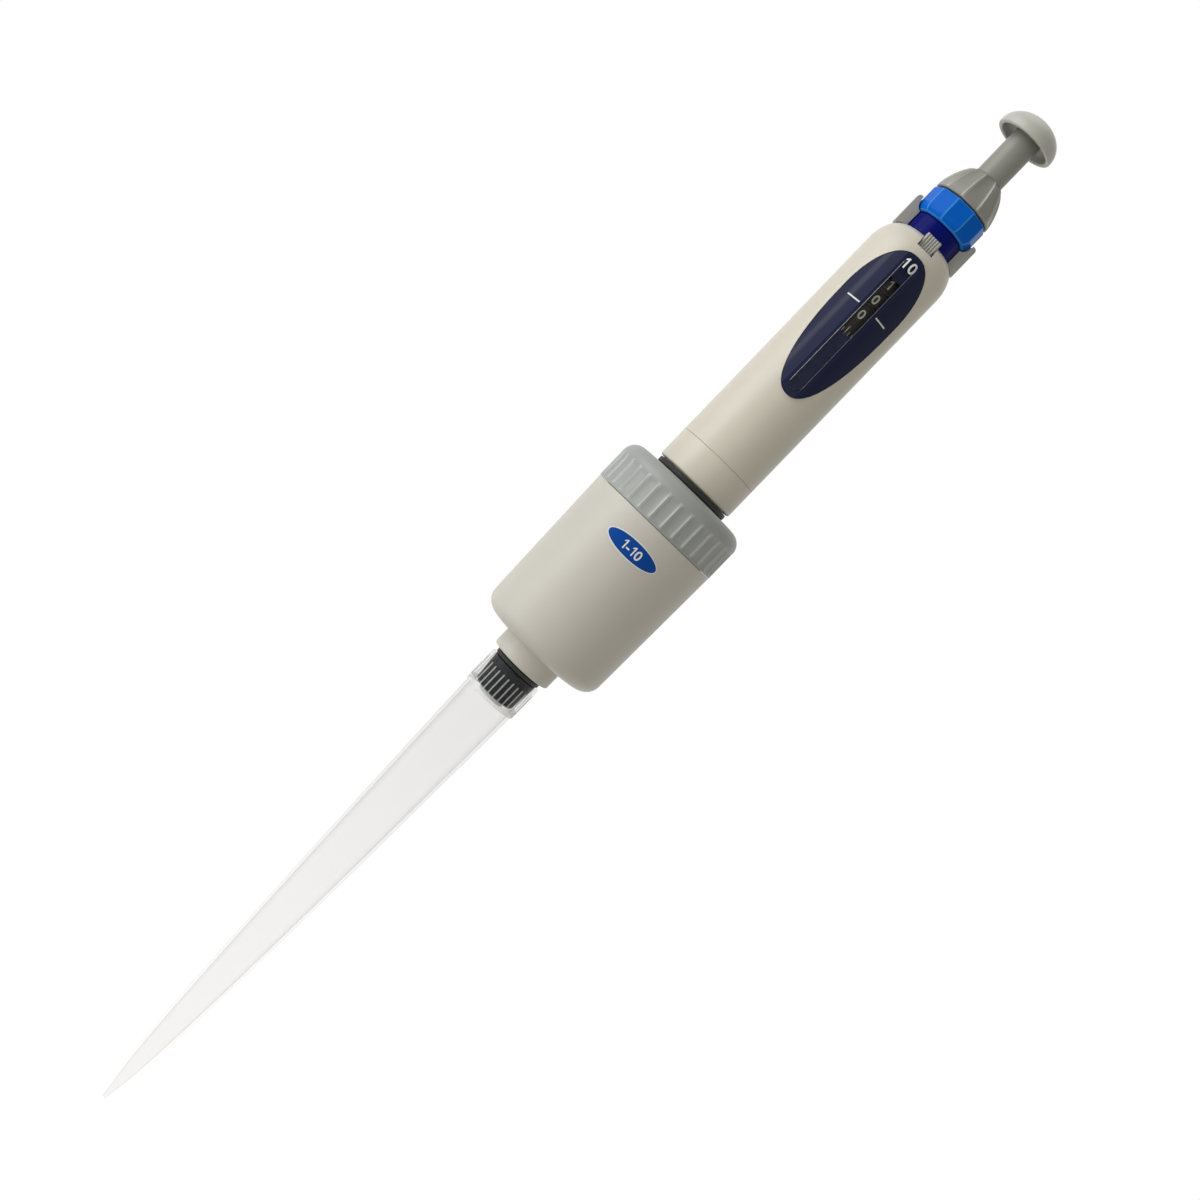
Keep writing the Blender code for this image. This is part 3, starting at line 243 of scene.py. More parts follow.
BLACK_RUBBER = rubber("black_rubber", (0.012, 0.012, 0.012))
STEEL = metal("turned_steel", (0.60, 0.61, 0.62), 0.28)
SPRING_STEEL = metal("drawn_spring_steel", (0.42, 0.43, 0.44), 0.34, (1, 1, 1))
BRASS = metal("turned_brass", (0.70, 0.52, 0.22), 0.32)
DRUM_PRINT = moulded("drum_print", (0.95, 0.95, 0.82), 0.45, 0.02, 0.02)
# Painted highlight: a lighter grey for the ridges between the cap's flutes, standing in for the
# light they catch
CAP_RIDGE_HIGHLIGHT = moulded("cap_ridge_painted_highlight", (0.46, 0.48, 0.47), 0.40)
# Painted highlight: a lighter grey along the volume knob's flute ridges
KNOB_RIDGE_HIGHLIGHT = moulded("knob_ridge_painted_highlight", (0.42, 0.42, 0.385), 0.36)
# Painted highlight: a lighter blue on the lock ring's edges
RING_EDGE_HIGHLIGHT = moulded("ring_edge_painted_highlight", (0.04, 0.28, 0.80), 0.3, 0.03, 0.05, 0.1)

# How much of a clear wall shows, where 0 is face on and 1 is edge on
TIP_VEIL = [(0.0, 0.078), (0.3, 0.078), (0.55, 0.105), (0.8, 0.2), (1.0, 0.42)]
RIDGE_VEIL = [(0.0, 0.5), (0.6, 0.6), (1.0, 0.9)]
LENS_VEIL = [(0.0, 0.0), (0.3, 0.0), (0.9, 0.8)]
EDGE_VEIL = [(0.0, 0.7), (0.6, 0.8), (1.0, 0.9)]
CLEAR_TIP = film("clear_tip", (0.10, 0.10, 0.094), 0.12, TIP_VEIL, 0.2)
# Painted highlight: a lighter, more opaque clear for the ridges of the tip's collar ribs
CLEAR_RIDGE_HIGHLIGHT = film("clear_rib_painted_highlight", (0.72, 0.74, 0.76), 0.3, RIDGE_VEIL)
CLEAR_LENS = film("clear_lens", (0.20, 0.21, 0.26), 0.12, LENS_VEIL)
# Painted highlight: a lighter, nearly opaque line along both edges of the window lens
LENS_EDGE_HIGHLIGHT = film("clear_lens_painted_edge_highlight", (0.36, 0.36, 0.42), 0.2, EDGE_VEIL)

FINISH = {
    "clear": CLEAR_TIP,
    "ivory": IVORY,
    "light_grey": LIGHT_GREY,
    "mid_grey": MID_GREY,
    "dark_grey": DARK_GREY,
    "stem_grey": STEM_GREY,
    "navy": CORE_BLUE,
    "blue": RING_BLUE,
    "black_rubber": BLACK_RUBBER,
    "white_plastic": WHITE,
    "digit_drum": DRUM_BLACK,
    "steel": STEEL,
    "spring_steel": SPRING_STEEL,
    "brass": BRASS,
}


# Shapes

def smooth(mesh):
    mesh.shade_smooth()
    mesh.set_sharp_from_angle(angle=SHARP)


def add(name, mesh, material=None):
    piece = bpy.data.objects.new(name, mesh)
    bpy.context.scene.collection.objects.link(piece)
    if material:
        mesh.materials.clear()
        mesh.materials.append(material)
    smooth(mesh)
    return piece


def from_bmesh(name, body, material=None):
    bmesh.ops.recalc_face_normals(body, faces=body.faces)
    mesh = bpy.data.meshes.new(name)
    body.to_mesh(mesh)
    body.free()
    return add(name, mesh, material)


def arc(before, corner, after, radius, steps=ARC):
    back = (before - corner).normalized()
    ahead = (after - corner).normalized()
    half = back.angle(ahead) / 2
    room = 0.49 * min((before - corner).length, (after - corner).length)
    reach = min(radius / math.tan(half), room)
    radius = reach * math.tan(half)
    centre = corner + (back + ahead).normalized() * radius / math.sin(half)
    start = (corner + back * reach - centre).normalized()
    end = (corner + ahead * reach - centre).normalized()
    side = (end - start * start.dot(end)).normalized()
    sweep = start.angle(end)
    angles = [sweep * i / steps for i in range(steps + 1)]
    return [centre + radius * (start * math.cos(a) + side * math.sin(a)) for a in angles]


def rounded(outline, longest=None):
    """Corners given as (x, y, radius) become arcs, and long sides are divided."""
    flat = [Vector(point[:2]) for point in outline]
    points = []
    for i, point in enumerate(outline):
        if len(point) == 3:
            points += arc(flat[i - 1], flat[i], flat[(i + 1) % len(flat)], point[2])
        else:
            points.append(flat[i])
    if not longest:
        return [(p.x, p.y) for p in points]
    fine = []
    for point, following in zip(points, points[1:] + points[:1]):
        parts = max(1, math.ceil((following - point).length / longest))
        fine += [tuple(point.lerp(following, i / parts)) for i in range(parts)]
    return fine


def lathe(name, outline, material=None, steps=ROUND, relief=None, longest=None, centre=(0, 0)):
    """A turned piece from a closed outline of (radius, height, corner radius).

    relief(turn, radius, height) is what is taken off the radius at that share of a turn.
    """
    body = bmesh.new()
    rows = []
    for radius, height in rounded(outline, longest):
        if radius < 1e-6:
            rows.append([body.verts.new(place(centre[0], centre[1], height))])
            continue
        row = []
        for step in range(steps):
            turn = step / steps
            reach = radius - (relief(turn, radius, height) if relief else 0)
            angle = TURN * turn - math.pi / 2
            x, y = centre[0] + reach * math.cos(angle), centre[1] + reach * math.sin(angle)
            row.append(body.verts.new(place(x, y, height)))
        rows.append(row)
    for upper, lower in zip(rows, rows[1:] + rows[:1]):
        for step in range(steps):
            after = (step + 1) % steps
            ring = [upper[step % len(upper)], lower[step % len(lower)]]
            ring += [lower[after % len(lower)], upper[after % len(upper)]]
            corners = list(dict.fromkeys(ring))
            if len(corners) > 2:
                body.faces.new(corners)
    return from_bmesh(name, body, material)


def ring(inside, outside, low, high, soft=0.0):
    corners = [(outside, high), (outside, low), (inside, low), (inside, high)]
    return [(*corner, soft) if soft else corner for corner in corners]


FRONT = ((1, 0, 0), (0, 0, 1), (0, -1, 0))
PLAN = ((1, 0, 0), (0, 1, 0), (0, 0, 1))
SIDE = ((0, 1, 0), (0, 0, 1), (1, 0, 0))


def slab(name, outline, low, high, sides, material=None, edge=0.0, fine=4):
    """A flat outline made thick between two places along its third axis, with round edges."""
    curve = bpy.data.curves.new(name, "CURVE")
    curve.dimensions = "2D"
    curve.fill_mode = "BOTH"
    curve.extrude = (high - low) / 2 - edge
    curve.bevel_depth = edge
    curve.bevel_resolution = fine
    curve.offset = -edge
    spline = curve.splines.new("POLY")
    spline.points.add(len(outline) - 1)
    for point, (x, y) in zip(spline.points, outline):
        point.co = (x, y, 0, 1)
    spline.use_cyclic_u = True
    mesh = curve_mesh(name, curve)
    body = bmesh.new()
    body.from_mesh(mesh)
    bpy.data.meshes.remove(mesh)
    bmesh.ops.remove_doubles(body, verts=body.verts, dist=WELD)
    across, along, out = (Vector(side) for side in sides)
    middle = (low + high) / 2
    for vertex in body.verts:
        x, y, z = vertex.co
        spot = across * x + along * y + out * (z + middle)
        vertex.co = place(*spot)
    return from_bmesh(name, body, material)


def brick(name, low, high, material=None):
    x, y = (low[0], high[0]), (low[1], high[1])
    outline = [(x[0], y[0]), (x[1], y[0]), (x[1], y[1]), (x[0], y[1])]
    return slab(name, outline, low[2], high[2], PLAN, material)


def paint(piece, material, chosen):
    """A second material on the faces that chosen(turn, radius, height) picks out: here, painted
    highlights.
    """
    piece.data.materials.append(material)
    for face in piece.data.polygons:
        spot = (face.center - AXIS) / MM
        turn = (math.atan2(spot.y, spot.x) + math.pi / 2) / TURN % 1
        if chosen(turn, math.hypot(spot.x, spot.y), spot.z):
            face.material_index = 1


def carve(piece, tool, operation="DIFFERENCE"):
    step = piece.modifiers.new("carve", "BOOLEAN")
    step.operation = operation
    step.object = tool
    step.solver = "EXACT"
    bpy.context.view_layer.update()
    graph = bpy.context.evaluated_depsgraph_get()
    mesh = bpy.data.meshes.new_from_object(piece.evaluated_get(graph))
    piece.modifiers.clear()
    piece.data = mesh
    smooth(mesh)
    bpy.data.objects.remove(tool)


def stand_for(piece, node, *others):
    """The piece takes this CAD node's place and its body."""
    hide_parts(node, *others)
    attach(piece, BODY_OF[node])
    return piece


def printed(piece, node):
    """A printed mark that rides with the piece it is on."""
    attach(piece, BODY_OF[node])
    return piece


# Numerals, in heights of a numeral
ONE = [(0.22, 0), (0.37, 0), (0.37, 1), (0.25, 1), (0, 0.8), (0, 0.65), (0.22, 0.8)]
LETTER_GAP = 0.17
FONT_SCALE = 1 / 0.72
FONT_WEIGHT = 0.018


def curve_mesh(name, curve):
    guide = bpy.data.objects.new(name + "_guide", curve)
    bpy.context.scene.collection.objects.link(guide)
    bpy.context.view_layer.update()
    graph = bpy.context.evaluated_depsgraph_get()
    mesh = bpy.data.meshes.new_from_object(guide.evaluated_get(graph))
    bpy.data.objects.remove(guide)
    return mesh


def glyph(letter):
    """A numeral as a thin solid one unit tall, its one with a flag."""
    kind = "CURVE" if letter == "1" else "FONT"
    curve = bpy.data.curves.new("glyph_" + letter, kind)
    curve.extrude = 0.5
    if letter == "1":
        curve.dimensions = "2D"
        curve.fill_mode = "BOTH"
        spline = curve.splines.new("POLY")
        spline.points.add(len(ONE) - 1)
        for point, (x, y) in zip(spline.points, ONE):
            point.co = (x, y, 0, 1)
        spline.use_cyclic_u = True
    else:
        curve.body = letter
        curve.offset = FONT_WEIGHT
        curve.resolution_u = 8
    mesh = curve_mesh("glyph", curve)
    if letter != "1":
        mesh.transform(Matrix.Diagonal((FONT_SCALE, FONT_SCALE, 1, 1)))
    return mesh


def lettering(name, text, tall, surface, material=PRINT, thick=0.03, strip=0.35, gap=LETTER_GAP):
    """Numerals laid on a surface: surface(across, up, out) gives a place in millimetres."""
    body = bmesh.new()
    start = 0
    for letter in text:
        mesh = glyph(letter)
        left = min(v.co.x for v in mesh.vertices)
        right = max(v.co.x for v in mesh.vertices)
        mesh.transform(Matrix.Translation((start - left, 0, 0)))
        start += right - left + gap
        body.from_mesh(mesh)
        bpy.data.meshes.remove(mesh)
    bmesh.ops.remove_doubles(body, verts=body.verts, dist=WELD / 10)
    width = start - gap
    for vertex in body.verts:
        x, y, z = vertex.co
        vertex.co = ((x - width / 2) * tall, (y - 0.5) * tall, (z + 0.5) * thick)
    lay(body, surface, strip)
    return from_bmesh(name, body, material)


def lay(body, surface, strip):
    """Cut into upright strips, then bent on to the surface."""
    widest = max(v.co.x for v in body.verts)
    across = strip - widest
    while across < widest:
        everything = body.verts[:] + body.edges[:] + body.faces[:]
        bmesh.ops.bisect_plane(body, geom=everything, plane_co=(across, 0, 0), plane_no=(1, 0, 0))
        across += strip
    for vertex in body.verts:
        vertex.co = place(*surface(*vertex.co))


def patch(name, outline, surface, material, thick=0.05, strip=0.5):
    """A thin printed patch with an outline of (across, up), laid on a surface."""
    body = bmesh.new()
    lower = [body.verts.new((x, y, 0)) for x, y in outline]
    face = body.faces.new(lower)
    grown = bmesh.ops.extrude_face_region(body, geom=[face])
    for item in grown["geom"]:
        if isinstance(item, bmesh.types.BMVert):
            item.co.z = thick
    lay(body, surface, strip)
    return from_bmesh(name, body, material)


def round_the_axis(radius_at, azimuth, height):
    """A surface round the axis: across counts along its curve from the azimuth."""
    def surface(across, up, out):
        radius = radius_at(height + up)
        angle = azimuth + across / radius
        reach = radius + out
        return reach * math.cos(angle), reach * math.sin(angle), height + up

    return surface


# Disposable tip and the cone in it

TIP_LENGTH = head("disposable_tip")
TIP_END_RADIUS = 0.9
TIP_BODY_RADIUS = 7.8
TIP_WALL = 0.85
TIP_TAPER = 0.41
COLLAR_RADIUS = girth("disposable_tip")
COLLAR_LENGTH = 10.2
COLLAR_BAND = 2.0
COLLAR_RIBS = 30
COLLAR_RIB_DEPTH = 0.35
COLLAR_ROWS = 24
TIP_ROWS = 40
TIP_CLOSER = 1.6  # rows lie closer towards the end
RIDGE_SHARE = 0.13  # of a rib or flute, painted on each side of its ridge


def tip_radius(height):
    body = TIP_LENGTH - COLLAR_LENGTH
    share = (TIP_END_RADIUS / TIP_BODY_RADIUS) ** (1 / TIP_TAPER)
    start = body * share / (1 - share)
    return TIP_BODY_RADIUS * ((height + start) / (body + start)) ** TIP_TAPER


def make_tip():
    collar = TIP_LENGTH - COLLAR_LENGTH
    rib_low, rib_top = collar + COLLAR_BAND, TIP_LENGTH - COLLAR_BAND
    outline = [(COLLAR_RADIUS, TIP_LENGTH, 0.25)]
    shares = [i / COLLAR_ROWS for i in range(1, COLLAR_ROWS)]
    outline += [(COLLAR_RADIUS, TIP_LENGTH - COLLAR_LENGTH * share) for share in shares]
    outline.append((COLLAR_RADIUS, collar, 0.2))
    heights = [collar * (i / TIP_ROWS) ** TIP_CLOSER for i in range(TIP_ROWS + 1)]
    outline += [(tip_radius(height), height) for height in reversed(heights)]
    for height in heights:
        radius = tip_radius(height)
        outline.append((radius - min(TIP_WALL, 0.45 * radius), height))
    outline.append((COLLAR_RADIUS - TIP_WALL, TIP_LENGTH, 0.2))

    def relief(turn, radius, height):
        if radius < COLLAR_RADIUS - 0.1 or not rib_low < height < rib_top:
            return 0
        wave = 0.5 - 0.5 * math.cos(TURN * turn * COLLAR_RIBS)
        ends = min(1, (height - rib_low) / 0.4, (rib_top - height) / 0.4)
        return COLLAR_RIB_DEPTH * wave**0.7 * ends

    tip = lathe("disposable_tip_clear", outline, CLEAR_TIP, 8 * COLLAR_RIBS, relief)

    # The rib ridges carry the painted highlight; the smooth band below the ribs gets the same
    # lighter, more opaque clear
    def ridges(turn, radius, height):
        if radius < COLLAR_RADIUS - 0.25:
            return False
        off = 0.5 - abs(turn * COLLAR_RIBS % 1 - 0.5)
        return height < rib_low - 0.3 or (height < rib_top and off < RIDGE_SHARE)

    paint(tip, CLEAR_RIDGE_HIGHLIGHT, ridges)
    stand_for(tip, "disposable_tip")


CONE_NECK = 6.05
CONE_TOP_RADIUS = 6.95
CONE_LOW_RADIUS = 6.2
CONE_RISE = 1.4
CONE_BORE = 2.5
FILTER_BORE = 4.15
FILTER_DEPTH = 5.6
ORING_BORE = 6.2


def make_cone():
    low, top = foot("tip_cone"), head("tip_cone")
    nozzle = head("nozzle_oring") + 0.45
    outline = [
        (girth("tip_cone"), top),
        (girth("tip_cone"), nozzle),
        (CONE_NECK, nozzle),
        (CONE_NECK, TIP_LENGTH),
        (CONE_TOP_RADIUS, TIP_LENGTH, 0.2),
        (CONE_LOW_RADIUS, low + CONE_RISE, CONE_RISE),
        (FILTER_BORE, low + CONE_RISE, 0.3),
        (FILTER_BORE, low + FILTER_DEPTH),
        (CONE_BORE, low + FILTER_DEPTH),
        (CONE_BORE, top),
    ]
    stand_for(lathe("tip_cone_dark", outline, DARK_GREY), "tip_cone")
    low, top = foot("nozzle_oring"), head("nozzle_oring")
    black = ring(ORING_BORE, girth("nozzle_oring"), low, top, 0.5)
    stand_for(lathe("nozzle_oring_black", black, BLACK_RUBBER), "nozzle_oring")


# Barrel and its cap

BARREL_LOW_RADIUS = 18.8
BARREL_TOP_RADIUS = girth("barrel")
BARREL_TOP = head("barrel")
BARREL_BORE = 17.0
BARREL_FLOOR = 2.8
BARREL_RISE = 0.22  # closes the seam under the cap
BOSS_TOP = 167.35
BOSS_RADIUS = 9.2
BOSS_BORE = 7.4


def barrel_radius(height):
    share = (height - BOSS_TOP) / (BARREL_TOP - BOSS_TOP)
    return BARREL_LOW_RADIUS + (BARREL_TOP_RADIUS - BARREL_LOW_RADIUS) * share


def make_barrel():
    low, top = foot("barrel"), BARREL_TOP + BARREL_RISE
    outline = [
        (BARREL_TOP_RADIUS, top, 0.2),
        (BARREL_LOW_RADIUS, BOSS_TOP, 4.4),
        (BOSS_RADIUS, BOSS_TOP, 0.7),
        (BOSS_RADIUS, low, 0.6),
        (BOSS_BORE, low, 0.3),
        (BOSS_BORE, BOSS_TOP + BARREL_FLOOR),
        (BARREL_BORE, BOSS_TOP + BARREL_FLOOR),
        (BARREL_BORE, top, 0.1),
    ]
    stand_for(lathe("barrel_shell", outline, LIGHT_GREY, longest=4), "barrel")


CAP_FLUTES = 32
CAP_FLUTE_DEPTH = 0.5
CAP_HEIGHT = 13.0
CAP_FLOOR = 3.5
CAP_BORE = 15.45
SKIRT_RADIUS = 16.85
SKIRT_DEPTH = 6.0
NECK_RADIUS = 10.25
NECK_BORE = 8.6
GUIDE_HOLE = 6.05
COUPLING_BORE = 10.4


def make_cap():
    low, neck_top = BARREL_TOP + GAP, head("barrel_cap")
    top = low + CAP_HEIGHT
    radius = girth("barrel_cap")
    flute_low, flute_top = low + 0.5, low + 9
    outline = [
        (NECK_RADIUS, neck_top, 0.3),
        (NECK_RADIUS, top, 0.4),
        (radius, top, 4.0),
        (radius, low, 0.25),
        (SKIRT_RADIUS, low, 0.1),
        (SKIRT_RADIUS, low - SKIRT_DEPTH),
        (CAP_BORE, low - SKIRT_DEPTH),
        (CAP_BORE, top - CAP_FLOOR),
        (GUIDE_HOLE, top - CAP_FLOOR),
        (GUIDE_HOLE, top),
        (NECK_BORE, top),
        (NECK_BORE, neck_top, 0.2),
    ]

    def relief(turn, reach, height):
        if reach < radius - 0.3 or not flute_low < height < flute_top:
            return 0
        wave = abs(math.sin(math.pi * turn * CAP_FLUTES)) ** 0.55
        ends = min(1, (height - flute_low) / 0.5, (flute_top - height) / 1.6)
        return CAP_FLUTE_DEPTH * wave * math.sin(ends * math.pi / 2)

    cap = lathe("barrel_cap_fluted", outline, MID_GREY, 8 * CAP_FLUTES, relief, longest=0.5)

    # The flute ridges get the painted highlight
    def ridges(turn, reach, height):
        off = 0.5 - abs(turn * CAP_FLUTES % 1 - 0.5)
        return reach > radius - 0.4 and flute_low < height < flute_top and off < RIDGE_SHARE

    paint(cap, CAP_RIDGE_HIGHLIGHT, ridges)
    stand_for(cap, "barrel_cap")
    low, top = foot("coupling_ring"), head("coupling_ring")
    black = ring(COUPLING_BORE, girth("coupling_ring"), low, top, 0.3)
    stand_for(lathe("coupling_ring_black", black, BLACK_RUBBER), "coupling_ring")


BADGE_WIDTH = 16.9
BADGE_HEIGHT = 5.5
BADGE_AT = 204.1
BADGE_AZIMUTH = math.radians(-93.2)
BADGE_EDGE = 0.28
BADGE_THICK = 0.05
BADGE_DIGITS = 2.6


def oval(width, height, steps=96):
    angles = [TURN * i / steps for i in range(steps)]
    return [(width / 2 * math.cos(a), height / 2 * math.sin(a)) for a in angles]


def make_badge():
    skin = round_the_axis(barrel_radius, BADGE_AZIMUTH, BADGE_AT)
    edge = oval(BADGE_WIDTH, BADGE_HEIGHT)
    printed(patch("range_badge_edge", edge, skin, PRINT, 0.03), "barrel")
    inner = oval(BADGE_WIDTH - 2 * BADGE_EDGE, BADGE_HEIGHT - 2 * BADGE_EDGE)
    printed(patch("range_badge", inner, skin, BADGE_BLUE, BADGE_THICK), "barrel")

    def above(across, up, out):
        return skin(across, up, out + BADGE_THICK)

    printed(lettering("range_numerals", "1-10", BADGE_DIGITS, above), "barrel")


# Handle with its window

HANDLE_RADIUS = girth("handle_shell")
HANDLE_WALL = 1.7
SHELL_BOTTOM = foot("handle_shell")
RIM_TOP = head("handle_shell")
SHOULDER_HEIGHT = 8.4
SHOULDER_CENTRE = 7.0
RIM_RADIUS = 7.9
CORE_RADIUS = 7.1
SEAM = 0.06
SEAM_EDGE = 0.08
BASE_INSET = 1.85
BASE_SOCKET = 10.4
BASE_SOCKET_DEPTH = 6.2
BASE_BORE = 9.2


def shoulder(spare=0.0, steps=22):
    across = HANDLE_RADIUS - SHOULDER_CENTRE + spare
    up = SHOULDER_HEIGHT + spare
    start = math.acos((RIM_RADIUS - SHOULDER_CENTRE) / across)
    points = []
    for i in range(steps + 1):
        angle = start * (1 - i / steps)
        height = RIM_TOP - SHOULDER_HEIGHT + up * math.sin(angle)
        points.append((SHOULDER_CENTRE + across * math.cos(angle), height))
    return points


WINDOW_HEIGHT = 47.7
WINDOW_WIDTH = 17.3
WINDOW_TOP = RIM_TOP - 6.3
WINDOW_WIDEST = 0.36
EGG_POWER = 2.3


def egg(spare=0.0, steps=160):
    top, bottom = WINDOW_TOP + spare, WINDOW_TOP - WINDOW_HEIGHT - spare
    widest = top - (WINDOW_HEIGHT + 2 * spare) * WINDOW_WIDEST
    half = WINDOW_WIDTH / 2 + spare
    points = []
    for i in range(steps):
        angle = TURN * i / steps
        across, along = math.cos(angle), math.sin(angle)
        reach = top - widest if along > 0 else widest - bottom
        x = half * math.copysign(abs(across) ** (2 / EGG_POWER), across)
        points.append((x, widest + reach * math.copysign(abs(along) ** (2 / EGG_POWER), along)))
    return points


def make_handle():
    low, top = foot("handle_base"), head("handle_base")
    spigot = girth("handle_base") - BASE_INSET
    outline = [
        (spigot, top),
        (spigot, SHELL_BOTTOM - SEAM),
        (HANDLE_RADIUS, SHELL_BOTTOM - SEAM, SEAM_EDGE),
        (HANDLE_RADIUS, low, 0.6),
        (BASE_SOCKET, low, 0.2),
        (BASE_SOCKET, low + BASE_SOCKET_DEPTH),
        (BASE_BORE, low + BASE_SOCKET_DEPTH),
        (BASE_BORE, top),
    ]
    stand_for(lathe("handle_base_ivory", outline, IVORY), "handle_base")
    inside = HANDLE_RADIUS - HANDLE_WALL
    outline = shoulder()
    outline += [
        (HANDLE_RADIUS, SHELL_BOTTOM, SEAM_EDGE),
        (inside, SHELL_BOTTOM),
        (inside, RIM_TOP - HANDLE_WALL, 3.0),
        (CORE_RADIUS + CLEARANCE, RIM_TOP - HANDLE_WALL),
        (CORE_RADIUS + CLEARANCE, RIM_TOP, 0.3),
    ]
    shell = lathe("handle_shell_ivory", outline, IVORY, longest=6)
    carve(shell, slab("window_tool", egg(CLEARANCE), 5, FAR, FRONT))
    half, low = girth("latch_tab") + CLEARANCE, foot("latch_tab") - CLEARANCE
    carve(shell, brick("latch_tool", (-half, -FAR, low), (half, -3, RIM_TOP + PAST)))
    stand_for(shell, "handle_shell")


ROOF_RIDGE = HANDLE_RADIUS + 0.6
ROOF_FLAT = 2.5
ROOF_HALF = WINDOW_WIDTH / 2 + 0.5
ROOF_EDGE = math.sqrt(HANDLE_RADIUS**2 - ROOF_HALF**2) + 0.1
LENS_WIDTH = 4.0
LENS_OUTER = ROOF_RIDGE + 0.55
CROWN_RADIUS = 3.3
LENS_MARGIN = 1.6
LENS_TOP = WINDOW_TOP - LENS_MARGIN
LENS_BOTTOM = WINDOW_TOP - WINDOW_HEIGHT + LENS_MARGIN
ROOF_STEPS = 24
ROOF_BOW = 0.35
SLOT_HALF = 1.9
LENS_THICK = 1.1
CHANNEL_DEPTH = 1.25
LENS_EDGE_WIDTH = 0.3


def roof(x):
    """How far the window's roof stands in front of the axis."""
    if abs(x) <= ROOF_FLAT:
        return ROOF_RIDGE
    share = (abs(x) - ROOF_FLAT) / (ROOF_HALF - ROOF_FLAT)
    bow = ROOF_BOW * math.sin(math.pi * min(1, share))
    return ROOF_RIDGE + (ROOF_EDGE - ROOF_RIDGE) * share + bow


def lens_outline(half, spare, roundness):
    low, high = LENS_BOTTOM - spare, LENS_TOP + spare
    corners = ((half, low), (half, high), (-half, high), (-half, low))
    return rounded([(*corner, roundness * half) for corner in corners])


def make_window():
    """The navy insert: an egg with a low roof, a channel for the lens and a slot for the drums."""
    inner = HANDLE_RADIUS - HANDLE_WALL + CLEARANCE
    places = [ROOF_HALF * (i / ROOF_STEPS - 1) for i in range(2 * ROOF_STEPS + 1)]
    section = [(x, -roof(x)) for x in places]
    reach = math.asin(ROOF_HALF / inner)
    for i in range(ROOF_STEPS + 1):
        angle = reach * (1 - 2 * i / ROOF_STEPS)
        section.append((inner * math.sin(angle), -inner * math.cos(angle)))
    low, high = WINDOW_TOP - WINDOW_HEIGHT - PAST, WINDOW_TOP + PAST
    insert = slab("window_insert", section, low, high, PLAN, NAVY)
    carve(insert, slab("egg_tool", egg(), 3, FAR, FRONT), "INTERSECT")
    channel = lens_outline(LENS_WIDTH / 2 + CLEARANCE, CLEARANCE, 0.95)
    carve(insert, slab("channel_tool", channel, LENS_OUTER - CHANNEL_DEPTH, FAR, FRONT))
    slot_low, slot_high = foot("tenths_drum") + CLEARANCE, head("tens_drum") - 1.8
    slot = brick("slot_tool", (-SLOT_HALF, -FAR, slot_low), (SLOT_HALF, -4, slot_high))
    carve(insert, slot)
    stand_for(insert, "window_frame")


def make_lens():
    """The clear rib over the slot, with a round crown and a painted highlight along its edges."""
    half = LENS_WIDTH / 2
    rib = lens_outline(half, 0, 0.97)
    lens = slab("window_lens_clear", rib, LENS_OUTER - LENS_THICK, LENS_OUTER, FRONT, CLEAR_LENS)
    low, high = LENS_BOTTOM - 2, LENS_TOP + 2
    crown = [(0, high), (CROWN_RADIUS, high), (CROWN_RADIUS, low), (0, low)]
    tool = lathe("crown_tool", crown, None, 64, centre=(0, CROWN_RADIUS - LENS_OUTER))
    carve(lens, tool, "INTERSECT")
    # The outer strips of the lens get the painted highlight
    lens.data.materials.append(LENS_EDGE_HIGHLIGHT)
    for face in lens.data.polygons:
        if abs(face.center.x) > (half - LENS_EDGE_WIDTH) * MM:
            face.material_index = len(lens.data.materials) - 1
    stand_for(lens, "window_lens")


NUMERAL_AT = 304.6
NUMERAL_TALL = 3.0
NUMERAL_GAP = 0.3
RIB_REACH = 2.3  # how far across the rib its crown is followed
TICK_AT = 289.4
TICK_ACROSS = 4.75
MARK_THICK = 0.04


def bar(wide, tall):
    x, y = wide / 2, tall / 2
    return [(-x, -y), (x, -y), (x, y), (-x, y)]


def make_window_marks():
    def on_rib(across, up, out):
        fall = math.sqrt(CROWN_RADIUS**2 - min(abs(across), RIB_REACH) ** 2)
        crown = LENS_OUTER - CROWN_RADIUS + fall
        return across, -(crown + out), NUMERAL_AT + up

    ten = lettering(
        "volume_numerals", "10", NUMERAL_TALL, on_rib, thick=MARK_THICK, gap=NUMERAL_GAP
    )
    printed(ten, "window_lens")
    for name, sign in (("left", -1), ("right", 1)):
        def on_roof(across, up, out):
            x = sign * TICK_ACROSS + across
            return x, -(roof(x) + out), TICK_AT + up

        mark = patch(f"index_mark_{name}", bar(3.6, 0.4), on_roof, PRINT, MARK_THICK)
        printed(mark, "window_frame")


# Counter

DIGIT_TALL = 2.6
DIGIT_BAND = 3.45
DRUM_RADIUS = girth("units_drum")
DRUM_RIM = 7.6
DRUM_BORE = 5.45
RIM_DROP = 0.8
GRADUATIONS = 50
LONG_TICK, SHORT_TICK = 2.6, 1.5
TICK_WIDE = 0.26
TICK_FOOT = 0.6


def drum_surface(height):
    return DRUM_RADIUS


